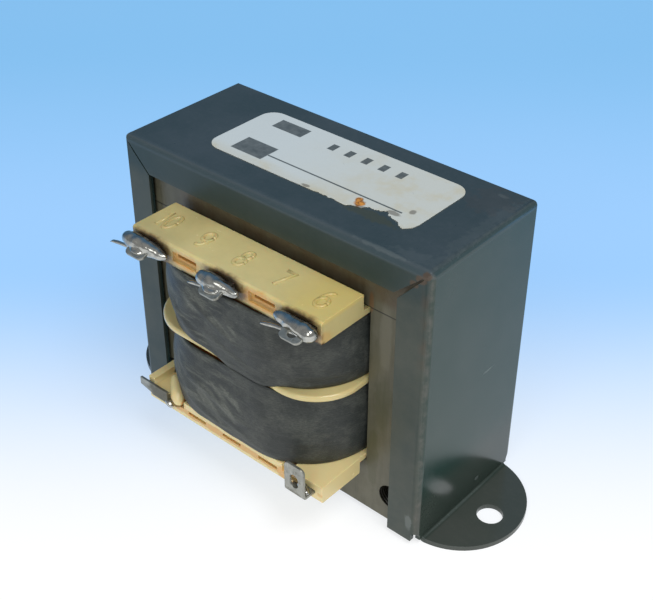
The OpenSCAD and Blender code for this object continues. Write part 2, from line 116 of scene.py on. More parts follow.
class CoreSettings(bpy.types.PropertyGroup):
    """Varnished laminations."""

    sheets: count("Sheets", "Laminations in the stack", 50)
    pack: count("Pack", "Sheets laid the same way", 5)
    stagger: length("Stagger", "Sideways scatter of the sheets", 0.03)
    slit: length("Slit", "Gap between two sheets", 0.03)
    hole: length("Hole", "Diameter of the punched holes", 5.0)
    varnish: colour("Varnish", "Olive varnish on the sheets", "555342")
    runs: colour("Runs", "Darker runs of varnish", "3f3e2b")
    haze: colour("Haze", "Paler, dusty varnish, and a painted highlight band", "6b695b")
    dark: colour("Dark", "Dark stains beside the coils", "43442a")
    stain: colour("Stain", "Brown varnish and painted shade in the gap behind the upper block", "4c3b28")
    # hollow: painted shade inside the punched holes
    hollow: colour("Hollow", "Painted shade inside the punched holes", "16150f")
    rust: colour("Rust", "Orange line beside the upper block", "6e4c2b")
    seam: colour("Seam", "Joint between the sheets", "1c1a15")


class BobbinSettings(bpy.types.PropertyGroup):
    """Moulded nylon bobbin."""

    nylon: colour("Nylon", "Colour of the aged nylon", "cabc85")
    shade: colour("Shade", "Greyer patches of the nylon", "b3a875")
    mottle: colour("Mottle", "Darker mottling of the nylon", "a99d68")
    # lower: painted light, paler nylon low on the bobbin below the upper coil
    lower: colour("Lower", "Painted light: paler nylon low on the bobbin", "eddaa0")
    # pale and warm: painted sheen on the top of the upper block, yellower towards its right end
    pale: colour("Pale", "Painted sheen on the top of the upper block", "dbcd92")
    warm: colour("Warm", "Yellower painted sheen at the right end of the upper block", "dcc675")
    speck: colour("Speck", "Small green specks", "7d7f4c")
    # number: painted shade on the raised numbers
    number: colour("Number", "Painted shade on the raised numbers", "b8994f")
    # amber: heated nylon, and a painted glow of light through the nylon in the slots
    amber: colour("Amber", "Nylon that has been heated, and a painted glow in the slots", "d39a4c")
    halo: colour("Halo", "Brown rim of the burnt places", "6b4420")
    scorch: colour("Scorch", "Burnt flux round the lugs", "1e140c")
    edge: length("Edge", "Rounding of the moulded edges", 0.12)
    rim: length("Rim", "Rounding of the flange between the coils", 0.5)
    digit: length("Digit", "Height of the moulded terminal numbers", 4.3)
    stroke: length("Stroke", "Width of the moulded strokes", 0.8)


class CoilSettings(bpy.types.PropertyGroup):
    """Cloth tape round the coils."""

    tape: colour("Tape", "Colour of the tape", "212625")
    thread: colour("Thread", "Paler threads of the tape", "3e4441")
    dust: colour("Dust", "Dust in the folds of the tape", "7d8077")
    lint: colour("Lint", "Specks of lint", "8a8b80")
    copper: colour("Copper", "Enamelled winding wire", "8a4f26")
    glint: colour("Glint", "Paler turns of the wire", "b0703a")
    lead: colour("Lead", "Varnished ends of the wire", "8d7440")
    thickness: length("Thickness", "Thickness of the wrapped tape", 0.6)
    flat: length("Flat", "Half length of the straight front of the coils", 6.9)
    swell: length("Swell", "Swell of the coils halfway up", 0.7)
    droop: length("Droop", "How far the tape bulges over the middle flange", 0.78)


class LugSettings(bpy.types.PropertyGroup):
    """Tinned lugs, solder and cut wires."""

    tin: colour("Tin", "Tinned lugs", "a3a49d")
    cloud: colour("Cloud", "Duller patches of the tin", "7f817d")
    tarnish: colour("Tarnish", "Tarnish on the tin", "5f5c50")
    scuff: colour("Scuff", "Bright scratches", "d0d0cc")
    # dirt: darker olive patches on lugs 1 and 5
    dirt: colour("Dirt", "Darker olive patches on the lower lugs", "4b4733")
    solder: colour("Solder", "Bright solder", "b9b9b3")
    dull: colour("Dull", "Duller patches of the solder", "70777a")
    flux: colour("Flux", "Flux residue on the solder", "3a2a18")
    edge: length("Edge", "Rounding of the stamped edges", 0.06)
    grain: length("Grain", "Voxel size of the solder", 0.11)
    wire: length("Wire", "Diameter of the cut wires", 0.7)


class LabelSettings(bpy.types.PropertyGroup):
    """Paper label with plain printed shapes."""

    paper: colour("Paper", "Colour of the paper", "cdd6d8")
    age: colour("Age", "Yellowed edge of the paper", "c9c2a8")
    speck: colour("Speck", "Small grey specks", "7b7768")
    ink: colour("Ink", "Printed shapes", "3a4346")
    dirt: colour("Dirt", "Brown dirt at the torn edge", "4b3d2c")
    flake: colour("Flake", "Varnish flake at the torn edge", "d9933c")
    burnt: colour("Burnt", "Darker part of the flake", "8a5a2a")
    corner: length("Corner", "Radius of the label's corners", 3.0)


class StageSettings(bpy.types.PropertyGroup):
    """Floor, light and camera."""

    azimuth: angle("Azimuth", "Turn of the camera about the object", 41.09)
    elevation: angle("Elevation", "Height of the camera as an angle", 35.29)
    distance: length("Distance", "From the target to the camera", 216.36)
    lens: amount("Lens", "Focal length on a 36 mm sensor", 64.49)
    near: colour("Near floor", "Floor in front of the object", "ffffff")
    middle: colour("Middle floor", "Floor a little behind the object", "9fcfff")
    far: colour("Far floor", "Floor far behind the object", "86c2f2")
    cloud: colour("Cloud", "Faint clouds on the floor", "d5dde4")
    sky: colour("Sky", "Soft light from behind", "8fc3f2")
    glow: amount("Glow", "Light of the pale floor itself", 0.74)
    world: amount("World", "Light of the pale surroundings", 0.37)


GROUPS = {
    "enamel": EnamelSettings, "core": CoreSettings, "bobbin": BobbinSettings, "coils": CoilSettings,
    "lugs": LugSettings, "label": LabelSettings, "stage": StageSettings,
}


class TransformerSettings(bpy.types.PropertyGroup):
    """All settings of the transformer."""

    __annotations__ = {
        name: bpy.props.PointerProperty(name=name.capitalize(), description=group.__doc__.rstrip("."), type=group)
        for name, group in GROUPS.items()}


def settings():
    return bpy.context.scene.transformer


# Node trees

class Wires:
    """Adds nodes to a tree and gives back their output sockets."""

    def __init__(self, tree):
        self.tree = tree

    def feed(self, socket, value):
        """Links a socket, or sets its value."""
        if isinstance(value, bpy.types.NodeSocket):
            self.tree.links.new(value, socket)
        else:
            socket.default_value = value

    def node(self, kind, inputs=(), **options):
        made = self.tree.nodes.new(kind)
        for name, value in options.items():
            setattr(made, name, value)
        for key, value in dict(inputs).items():
            self.feed(made.inputs[key], value)
        return made

    def math(self, operation, a, b=0.0):
        return self.node("ShaderNodeMath", {0: a, 1: b}, operation=operation).outputs[0]

    def vector(self, operation, a, b=(0.0, 0.0, 0.0)):
        made = self.node("ShaderNodeVectorMath", {0: a, 1: b}, operation=operation)
        return made.outputs["Value" if operation in ("LENGTH", "DOT_PRODUCT") else "Vector"]

    def plus(self, a, b):
        return self.math("ADD", a, b)

    def times(self, a, b):
        return self.math("MULTIPLY", a, b)

    def rest(self, mask):
        return self.math("SUBTRACT", 1.0, mask)

    def both(self, *masks):
        return reduce(self.times, masks)

    def most(self, *masks):
        return reduce(lambda a, b: self.math("MAXIMUM", a, b), masks)

    def step(self, value, low, high):
        """Smooth rise from 0 to 1."""
        return self.node("ShaderNodeMapRange", {"Value": value, "From Min": low, "From Max": high},
                         interpolation_type="SMOOTHSTEP").outputs[0]

    def scale(self, value, low, high):
        return self.node("ShaderNodeMapRange", {"Value": value, "To Min": low, "To Max": high}).outputs[0]

    def noise(self, place, scale, detail=2.0, roughness=0.5):
        return self.node("ShaderNodeTexNoise", {
            "Vector": place, "Scale": scale, "Detail": detail, "Roughness": roughness}).outputs[0]

    def mix(self, share, a, b):
        return self.node("ShaderNodeMix", {0: share, 6: a, 7: b}, data_type="RGBA").outputs[2]

    def axis(self, place, name):
        return self.node("ShaderNodeSeparateXYZ", {0: place}).outputs[name]

    def turned(self, place, scale, rotation=(0.0, 0.0, 0.0)):
        return self.node("ShaderNodeMapping", {
            "Vector": place, "Scale": scale, "Rotation": rotation}).outputs[0]


def make_blot(w, place, centre, size, ragged, grain):
    """Ragged round spot."""
    away = w.vector("LENGTH", w.vector("DIVIDE", w.vector("SUBTRACT", place, centre), size))
    rough = w.times(w.math("SUBTRACT", w.noise(place, grain, 4.0, 0.6), 0.5), ragged)
    return w.rest(w.step(w.plus(away, rough), 0.6, 1.0))


def make_dust(w, place, scale, low, high):
    """Cloudy film."""
    return w.step(w.noise(place, scale, 5.0, 0.62), low, high)


def make_scratches(w, place, scale, level):
    """Broken lines along a stretched place."""
    broken = w.step(w.noise(place, w.times(scale, 0.25), 2.0), 0.5, 0.62)
    return w.times(w.step(w.noise(place, scale, 2.0, 0.4), level, w.plus(level, 0.05)), broken)


def make_patch(w, place, centre, size, soft):
    """Flat printed rectangle in X and Y."""
    over = w.vector("SUBTRACT", w.vector("ABSOLUTE", w.vector("SUBTRACT", place, centre)), size)
    return w.rest(w.step(w.most(w.axis(over, "X"), w.axis(over, "Y")), 0.0, soft))


EFFECTS = {
    "blot": (make_blot, "Vector Place, Vector Centre, Vector Size, Float Ragged, Float Grain"),
    "dust": (make_dust, "Vector Place, Float Scale, Float Low, Float High"),
    "scratches": (make_scratches, "Vector Place, Float Scale, Float Level"),
    "patch": (make_patch, "Vector Place, Vector Centre, Vector Size, Float Soft"),
}


def effect_group(name):
    """Shader group of an effect that finishes share, made once; it puts out one mask."""
    tree = bpy.data.node_groups.get(name)
    if tree:
        return tree
    tree = bpy.data.node_groups.new(name, "ShaderNodeTree")
    build, inputs = EFFECTS[name]
    titles = []
    for kind, title in (entry.split() for entry in inputs.split(",")):
        tree.interface.new_socket(title, in_out="INPUT", socket_type="NodeSocket" + kind)
        titles.append(title)
    tree.interface.new_socket("Mask", in_out="OUTPUT", socket_type="NodeSocketFloat")
    wires = Wires(tree)
    entry = wires.node("NodeGroupInput")
    wires.node("NodeGroupOutput", {"Mask": build(wires, *[entry.outputs[title] for title in titles])})
    return tree


class Finish(Wires):
    """One material with a Principled shader, on the object's own coordinates in millimetres."""

    def __init__(self, name, **constants):
        self.material = bpy.data.materials.new(name)
        self.material.use_nodes = True
        super().__init__(self.material.node_tree)
        self.tree.nodes.clear()
        self.shader = self.node("ShaderNodeBsdfPrincipled", constants)
        self.node("ShaderNodeOutputMaterial", {"Surface": self.shader.outputs[0]})
        here = self.node("ShaderNodeTexCoord").outputs["Object"]
        self.place = self.vector("MULTIPLY", here, (1 / MM,) * 3)

    def effect(self, name, place=None, **inputs):
        """Mask of a shared effect."""
        made = self.node("ShaderNodeGroup", node_tree=effect_group(name))
        for title, value in dict(inputs, Place=place or self.place).items():
            self.feed(made.inputs[title], value)
        return made.outputs[0]

    def blot(self, centre, size, ragged, grain):
        return self.effect("blot", Centre=centre, Size=size, Ragged=ragged, Grain=grain)

    def blots(self, spots, ragged, grain):
        return self.most(*[self.blot(centre, size, ragged, grain) for centre, size in spots])

    def dust(self, scale, low, high, place=None):
        return self.effect("dust", place, Scale=scale, Low=low, High=high)

    def band(self, name, low, high):
        """Mask that rises along one axis."""
        return self.step(self.axis(self.place, name), low, high)

    def below(self, name, low, high):
        """Mask that falls along one axis."""
        return self.rest(self.band(name, low, high))

    def between(self, name, low, high, soft):
        """Mask of a stretch along one axis."""
        return self.times(self.band(name, low - soft, low + soft), self.below(name, high - soft, high + soft))

    def coats(self, base, *coats):
        """Lays tints over a base colour, each at its strength through its mask."""
        for tint, strength, mask in coats:
            base = self.mix(self.times(mask, strength), base, tint)
        return base

    def bump(self, height, depth):
        self.feed(self.shader.inputs["Normal"], self.node(
            "ShaderNodeBump", {"Height": height, "Distance": depth * MM}).outputs[0])

    def surface(self, base, roughness, metallic=None):
        self.feed(self.shader.inputs["Base Color"], base)
        self.feed(self.shader.inputs["Roughness"], roughness)
        if metallic is not None:
            self.feed(self.shader.inputs["Metallic"], metallic)
        return self.material


# Meshes

WELD, FLATNESS = 2e-6, math.radians(0.4)        # for the triangles of a CAD node
CREASE, SHARP = math.radians(35.0), math.radians(50.0)


def piece_from(mesh, name, node=None, material=None):
    """New piece at the origin that rides on the frame and stands for a CAD node."""
    if material:
        mesh.materials.append(material)
    piece = maker(name, mesh)
    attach(piece, "root")
    if node:
        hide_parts(node)


def maker(name, data):
    """New object in the scene."""
    made = bpy.data.objects.new(name, data)
    bpy.context.scene.collection.objects.link(made)
    return made


def made_plain(made, name):
    """Mesh of a helper object with its modifiers, and the helper removed."""
    graph = bpy.context.evaluated_depsgraph_get()
    mesh = bpy.data.meshes.new_from_object(
        made.evaluated_get(graph), preserve_all_data_layers=True, depsgraph=graph)
    mesh.name = name
    bpy.data.objects.remove(made)
    return mesh


def baked(shape, name):
    """Mesh of an edited shape."""
    mesh = bpy.data.meshes.new(name)
    shape.to_mesh(mesh)
    shape.free()
    return mesh


def mesh_from(name, points, faces):
    """Closed smooth mesh from points in millimetres, with its faces outwards."""
    mesh = bpy.data.meshes.new(name)
    mesh.from_pydata([Vector(p) * MM for p in points], [], faces)
    outwards(mesh)
    mesh.shade_smooth()
    return mesh


def outwards(mesh):
    """Welds a mesh and turns its faces outwards."""
    shape = bmesh.new()
    shape.from_mesh(mesh)
    bmesh.ops.remove_doubles(shape, verts=shape.verts, dist=1e-7)
    bmesh.ops.recalc_face_normals(shape, faces=shape.faces)
    shape.to_mesh(mesh)
    shape.free()


def round_edges(shape, edges, radius, segments, slot=-1):
    bmesh.ops.bevel(shape, geom=edges, offset=radius, offset_type="OFFSET", segments=segments, profile=0.5,
                    affect="EDGES", clamp_overlap=True, material=slot)


def sharp_edges(shape):
    return [e for e in shape.edges if e.is_manifold and e.is_convex and e.calc_face_angle() > CREASE]


def merged(node):
    """Merged copy of a CAD node, with flat faces in one piece."""
    shape = bmesh.new()
    shape.from_mesh(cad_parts[node].data)
    bmesh.ops.remove_doubles(shape, verts=shape.verts, dist=WELD)
    bmesh.ops.dissolve_limit(shape, angle_limit=FLATNESS, verts=shape.verts, edges=shape.edges)
    return shape


def shaped(shape, name, *materials):
    """Mesh of an edited shape, with normals that keep its flat faces flat."""
    mesh = baked(shape, name)
    mesh.shade_smooth()
    mesh.set_sharp_from_angle(angle=SHARP)
    for material in materials:
        mesh.materials.append(material)
    helper = maker(name, mesh)
    helper.modifiers.new("flat faces", "WEIGHTED_NORMAL").keep_sharp = True
    return made_plain(helper, name)


def add_line(curve, points, closed=False):
    line = curve.splines.new("POLY")
    line.points.add(len(points) - 1)
    for knot, (x, y) in zip(line.points, points):
        knot.co = (x * MM, y * MM, 0.0, 1.0)
    line.use_cyclic_u = closed


def plate(name, outlines, thickness):
    """Flat plate in X and Y, from its outline and those of its holes."""
    curve = bpy.data.curves.new(name, "CURVE")
    curve.dimensions, curve.fill_mode, curve.extrude = "2D", "BOTH", thickness / 2
    for outline in outlines:
        add_line(curve, outline, True)
    return made_plain(maker(name, curve), name)


def arc(cx, cy, rx, ry, start, end, steps):
    return [(cx + rx * math.cos(a), cy + ry * math.sin(a))
            for a in np.radians(np.linspace(start, end, steps))]


# Frame: stains, rubs and a painted highlight are given by their middle and their size in millimetres

# pale rubs on the top plate; the thin line along the front fold is a painted highlight
TOP_RUBS_AND_FOLD_HIGHLIGHT = [((29.6, 11.4, 58.2), (1.2, 0.6, 0.5)), ((24.9, -14.0, 58.0), (6.0, 0.4, 0.5))]
EDGE_RUBS = [((33.0, 0.0, 58.2), (1.6, 13.0, 0.5)), ((30.0, -12.4, 58.2), (5.0, 1.6, 0.5))]
SIDE_RUBS = [((34.8, 3.6, 3.8), (1.0, 0.7, 0.5)), ((34.8, 3.7, 29.1), (1.0, 2.0, 0.25)),
             ((33.0, -14.8, 5.4), (0.9, 0.6, 2.0))]
FOOT_RUB = ((35.1, -3.0, 1.15), (0.3, 14.0, 0.35))
RUST_SPOTS = [((31.6, -14.9, 55.2), (1.0, 0.8, 0.8)), ((32.8, -14.9, 56.4), (1.3, 0.9, 1.0)),
              ((33.8, -14.6, 57.3), (1.1, 0.9, 0.8))]
BROWN_CORNER = ((29.0, 9.0, 58.2), (5.0, 5.0, 0.5))
OLD_GLUE = ((17.0, -7.7, 58.2), (7.0, 1.4, 0.5))


def enamel_finish(name, chipped):
    """Black enamel: olive on the lips, rubbed on the bends, rusty at the open corner; painted reflections tint
    the top plate, the upper bends and the side plates, and painted highlights lie on the front bends and along
    the top's front fold.
    """
    s = settings().enamel
    f = Finish(name, IOR=1.42)
    outwards_x = f.math("ABSOLUTE", f.axis(f.place, "X"))
    cloud, fine = f.dust(0.07, 0.35, 0.7), f.noise(f.place, 1.4, 4.0, 0.6)
    front, back = f.below("Y", -14.7, -14.1), f.band("Y", 14.1, 14.7)
    top, side = f.band("Z", 57.2, 58.0), f.step(outwards_x, 33.8, 34.6)
    foot = f.both(f.below("Z", 1.1, 1.5), f.step(outwards_x, 35.0, 35.8))
    upper_lip, near_top = f.band("Z", 50.5, 53.5), f.band("Z", 56.6, 57.2)
    near_front = f.below("Y", -14.2, -13.4)
    olive = f.both(front, f.scale(f.dust(0.13, 0.3, 0.7), 0.45, 1.0), f.most(upper_lip, 0.7))
    bends = [(front, top), (top, side), (front, side), (back, top), (back, side)]
    rubbed = f.both(f.most(*[f.both(*pair) for pair in bends]), f.dust(0.9, 0.5, 0.68))
    # pale rubs and scratches, with a painted highlight along the front fold of the top plate
    marks = f.most(f.times(f.blots(TOP_RUBS_AND_FOLD_HIGHLIGHT, 1.6, 0.7), 0.4), f.blots(SIDE_RUBS, 1.4, 0.9),
                   f.times(f.blot(*FOOT_RUB, 0.3, 0.5), 0.4), f.times(f.blots(EDGE_RUBS, 2.6, 0.8), 0.2))
    brown = f.both(front, f.between("X", 33.2, 34.6, 0.5), f.between("Z", 36.0, 56.0, 3.0),
                   f.dust(0.3, 0.4, 0.65))
    rust = f.most(f.blots(RUST_SPOTS, 0.9, 0.8), f.times(brown, 0.45))
    # dust film everywhere; on the top plate its bluish tint is also a painted sky reflection
    film = f.most(f.times(cloud, 0.1), f.both(top, f.scale(cloud, 0.24, 0.36)),
                  f.both(foot, f.scale(cloud, 0.3, 0.42)))
    film = f.plus(film, f.times(f.dust(1.1, 0.45, 0.7), 0.05))
    base = f.coats(
        # the side plates take their own darker, greener tint as a painted reflection
        f.mix(film, f.mix(side, s.paint, s.side), f.mix(top, s.dust, s.film)),
        (s.glue, 0.5, f.blot(*OLD_GLUE, 1.5, 0.8)),
        (f.mix(upper_lip, s.olive, s.lip), 0.55, olive),
        (s.bare, 0.18, rubbed),
        # painted sky reflection on the upper bends of the side plates and front lip
        (s.bend, 0.4, f.most(f.both(near_top, side), f.both(near_top, near_front))),
        # rubbing and a painted warm highlight along the bends between the side plates and the front lips
        (s.worn, 1.0, f.both(near_front, side, f.scale(f.dust(0.5, 0.4, 0.65), 0.15, 0.4))),
        # paler, warmer tint towards the bottom of the side plates
        (s.dirt, 0.25, f.both(side, f.below("Z", 8.0, 16.0))),
        (s.rust, 0.12, f.blot(*BROWN_CORNER, 2.4, 0.5)),
        (s.bare, 0.3, marks),
        (s.rust, 0.7, rust))
    roughness = f.plus(f.scale(fine, 0.15, 0.23), f.times(f.most(front, rust, marks, rubbed), 0.2))
    roughness = f.plus(roughness, f.times(top, 0.1))
    metallic = None
    if chipped:
        chips = f.dust(0.35, 0.48, 0.62)
        base = f.coats(base, (s.bare, 0.4, chips))
        metallic = f.times(chips, 0.3)
    f.bump(f.plus(f.noise(f.place, 0.3, 2.0), f.times(fine, 0.15)), 0.012)
    return f.surface(base, roughness, metallic)


def round_corners(shape, radius):
    """Rounds the four points where three bends meet."""
    above_feet = [v.co for v in shape.verts if v.co.z > radius * 8]
    middle = Vector([max(abs(co[k]) for co in above_feet) - radius for k in range(3)])
    for vertex in shape.verts:
        over = Vector((abs(vertex.co.x), abs(vertex.co.y), vertex.co.z)) - middle
        if min(over) > 0 and over.length > radius:
            x, y, z = middle + over.normalized() * radius
            vertex.co = (math.copysign(x, vertex.co.x), math.copysign(y, vertex.co.y), z)


class TRANSFORMER_OT_frame(bpy.types.Operator):
    """Round the cut edges of the folded frame and paint it"""

    bl_idname = "transformer.paint_frame"
    bl_label = "Paint Frame"

    def execute(self, context):
        s = settings().enamel
        shape = merged("channel_frame")
        round_corners(shape, s.fold)
        round_edges(shape, sharp_edges(shape), s.edge, 2, 1)
        finishes = enamel_finish("enamel", False), enamel_finish("worn enamel", True)
        mesh = shaped(shape, "painted_frame", *finishes)
        piece_from(mesh, "painted_frame", "channel_frame")
        return {"FINISHED"}


# Core

DARK_STAINS = [((25.4, -13.4, 27.0), (2.0, 1.0, 7.0)), ((23.6, -13.4, 14.0), (1.4, 1.0, 9.0))]
# pale upright band on the core beside the coils: a painted highlight
PALE_HIGHLIGHT_BAND = ((25.4, -13.4, 41.0), (1.6, 1.0, 9.0))
RUST_LINE = ((22.3, -13.4, 46.6), (0.6, 1.0, 2.4))
# painted shade down the punched holes, behind the front sheet
HOLE_SHADES = [((x, 0.0, z), (4.4, 60.0, 4.4)) for x in (-27.9, 27.9) for z in (6.4, 51.1)]
FILM_DEPTH, FILM_THICKNESS, FILM_OVERLAP = 0.18 * MM, 0.3 * MM, 0.04 * MM


def core_finish():
    """Olive varnish over punched steel sheets, brown varnish and painted shade in the gap behind the upper block;
    painted shade in the holes and a painted highlight band beside the coils.
    """
    s = settings().core
    f = Finish("core varnish", IOR=1.5)
    runs = f.dust(0.8, 0.4, 0.7, f.turned(f.place, (1.0, 1.0, 0.1)))
    front = f.below("Y", -13.2, -13.0)
    # brown varnish and painted shade on the core face seen in the gap behind the upper block
    gap_stain_and_shade = f.both(front, f.band("Z", 46.5, 48.4), f.band("X", -24.0, -19.0),
                        f.scale(f.dust(0.3, 0.35, 0.65), 0.5, 1.0))
    base = f.coats(
        s.varnish,
        (s.runs, 0.6, runs),
        # paler dusty haze, plus a painted highlight band on the core beside the coils
        (s.haze, 0.5, f.most(f.times(f.dust(0.2, 0.35, 0.7), 0.6), f.blot(*PALE_HIGHLIGHT_BAND, 0.8, 0.3))),
        (s.dark, 0.45, f.blots(DARK_STAINS, 1.6, 0.35)),
        (s.stain, 0.65, gap_stain_and_shade),
        # painted shade inside the punched holes
        (s.hollow, 0.9, f.both(f.band("Y", -13.34, -13.2), f.blots(HOLE_SHADES, 0.0, 1.0))),
        (s.rust, 0.6, f.blot(*RUST_LINE, 1.0, 0.8)),
        (s.seam, 0.85, f.both(front, f.between("Z", 45.48, 45.72, 0.06))))
    f.bump(f.plus(f.noise(f.place, 0.8, 3.0), f.times(runs, 0.6)), 0.02)
    return f.surface(base, f.scale(f.noise(f.place, 0.7, 4.0), 0.3, 0.5))


def sheet_outline(width, height, yoke, tongue, e_shape):
    """Corners of one punched sheet, centred on the core, with its yoke at the bottom."""
    x, low, inner = width / 2, -height / 2, tongue / 2
    base, top = low + yoke, height / 2 - yoke
    if not e_shape:
        return [(-x, low), (x, low), (x, base), (-x, base)]
    right = [(x, low), (x, top), (inner + yoke, top), (inner + yoke, base), (inner, base), (inner, top)]
    return [(-x, low)] + right + [(-a, b) for a, b in reversed(right)][:-1]


def punched_sheet(name, e_shape, thickness):
    """Thin sheet with a hole near each end of its yoke, standing in X and Z; an I has its yoke on top."""
    low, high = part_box("e_laminations")
    width, height = (high.x - low.x) / MM, (high.z - low.z) / MM
    tongue = width / 3
    yoke = tongue / 2
    r = settings().core.hole / 2 / MM
    holes = [arc(side * (width - yoke) / 2, (yoke - height) / 2, r, r, 0, 345, 24) for side in (-1, 1)]
    mesh = plate(name, [sheet_outline(width, height, yoke, tongue, e_shape)] + holes, thickness)
    mesh.transform(Matrix.Rotation(math.pi / 2, 4, "X"))
    outwards(mesh)
    if not e_shape:
        mesh.transform(Matrix.Rotation(math.pi, 4, "Y"))
    return mesh


STACK_INPUTS = {"Sheet": "Object", "Sheets": "Int", "Pack": "Int", "First": "Vector", "Pitch": "Vector",
                "Stagger": "Vector", "Seed": "Int", "Varnish": "Material"}


def stack_tree():
    """Sheets one behind another; every second pack is turned upside down."""
    tree = bpy.data.node_groups.new("lamination stack", "GeometryNodeTree")
    tree.interface.new_socket("Geometry", in_out="INPUT", socket_type="NodeSocketGeometry")
    for title, kind in STACK_INPUTS.items():
        tree.interface.new_socket(title, in_out="INPUT", socket_type="NodeSocket" + kind)
    tree.interface.new_socket("Geometry", in_out="OUTPUT", socket_type="NodeSocketGeometry")
    w = Wires(tree)
    entry = w.node("NodeGroupInput").outputs
    line = w.node("GeometryNodeMeshLine", {
        "Count": entry["Sheets"], "Start Location": entry["First"], "Offset": entry["Pitch"]}, mode="OFFSET")
    scatter = w.node("FunctionNodeRandomValue", {"Seed": entry["Seed"]}, data_type="FLOAT_VECTOR")
    w.feed(scatter.inputs[0], w.vector("MULTIPLY", entry["Stagger"], (-1.0, -1.0, -1.0)))
    w.feed(scatter.inputs[1], entry["Stagger"])
    moved = w.node("GeometryNodeSetPosition", {"Geometry": line.outputs[0], "Offset": scatter.outputs[0]})
    index = w.node("GeometryNodeInputIndex").outputs[0]
    pack = w.math("FLOOR", w.math("DIVIDE", index, entry["Pack"]))
    turn = w.node("ShaderNodeCombineXYZ", {"Y": w.times(w.math("MODULO", pack, 2.0), math.pi)})
    shape = w.node("GeometryNodeObjectInfo", {"Object": entry["Sheet"], "As Instance": True})
    copies = w.node("GeometryNodeInstanceOnPoints", {
        "Points": moved.outputs[0], "Instance": shape.outputs["Geometry"], "Rotation": turn.outputs[0]})
    real = w.node("GeometryNodeRealizeInstances", {"Geometry": copies.outputs[0]})
    painted = w.node("GeometryNodeSetMaterial", {"Geometry": real.outputs[0], "Material": entry["Varnish"]})
    w.node("NodeGroupOutput", {0: painted.outputs[0]})
    return tree


def set_inputs(modifier, values):
    """Sets a Geometry Nodes modifier's inputs by the identifiers of their sockets."""
    for item in modifier.node_group.interface.items_tree:
        if item.in_out == "INPUT" and item.name in values:
            modifier[item.identifier] = values[item.name]


def varnish_films(name):
    """Varnish dried across the two upper holes of the front sheet."""
    low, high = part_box("e_laminations")
    half_yoke = (high.x - low.x) / 12
    r = settings().core.hole / 2 + FILM_OVERLAP
    shape = bmesh.new()
    for side in (-1, 1):
        place = Vector((side * (high.x - half_yoke), low.y + FILM_DEPTH, high.z - half_yoke))
        bmesh.ops.create_cone(
            shape, cap_ends=True, segments=32, radius1=r, radius2=r, depth=FILM_THICKNESS,
            matrix=Matrix.Translation(place) @ Matrix.Rotation(math.pi / 2, 4, "X"))
    return baked(shape, name)


class TRANSFORMER_OT_core(bpy.types.Operator):
    """Stack the punched sheets of the core, pack by pack"""

    bl_idname = "transformer.stack_core"
    bl_label = "Stack Core"

    def execute(self, context):
        s = settings().core
        low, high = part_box("e_laminations")
        pitch = (high.y - low.y) / s.sheets
        first = (0.0, low.y + pitch / 2, (low.z + high.z) / 2)
        tree, varnish = stack_tree(), core_finish()
        for seed, (letter, e_shape) in enumerate((("e", True), ("i", False))):
            name, node = letter + "_sheets", letter + "_laminations"
            sheet = maker(node + "_sheet", punched_sheet(node + "_sheet", e_shape, pitch - s.slit))
            stack = maker(node + "_stack", bpy.data.meshes.new(node + "_stack"))
            modifier = stack.modifiers.new("stack", "NODES")
            modifier.node_group = tree
            set_inputs(modifier, {
                "Sheet": sheet, "Sheets": s.sheets, "Pack": s.pack, "First": first,
                "Pitch": (0.0, pitch, 0.0), "Stagger": (s.stagger, 0.0, s.stagger),
                "Seed": seed, "Varnish": varnish})
            mesh = made_plain(stack, name)
            bpy.data.objects.remove(sheet)
            piece_from(mesh, name, node)
        piece_from(varnish_films("varnish_films"), "varnish_films", material=varnish)
        return {"FINISHED"}


# Bobbin

AMBER_SPOTS = [((-8.4, -25.0, 46.4), (4.4, 0.8, 2.0)), ((8.4, -25.0, 46.5), (5.0, 0.9, 2.2)),
               ((-1.0, -24.9, 11.6), (26.0, 0.6, 0.9)), ((13.2, -24.7, 11.6), (3.6, 1.0, 1.6)),
               ((-14.0, -24.0, 12.8), (3.0, 1.4, 1.0))]
AMBER_END = ((21.6, -24.8, 44.8), (2.2, 3.2, 2.4))
BURNS = [((-17.4, -25.0, 46.2), (6.4, 1.1, 2.9)), ((0.7, -25.0, 46.3), (5.6, 1.15, 3.0)),
         ((17.2, -25.0, 46.2), (5.4, 1.1, 3.0))]
BURN_RIMS = [(centre, tuple(1.2 * v for v in size)) for centre, size in BURNS]
# dark spots at the lower block: in the corner by the rib, and beside lug 1
LOWER_DARK_SPOTS = [((-20.2, -18.2, 13.9), (0.5, 2.2, 0.8)), ((-14.6, -24.9, 12.6), (0.6, 0.7, 1.4))]
TUBE_X, TUBE_Y = 0.0125, 0.015                  # edges nearer the middle belong to the bobbin's tube


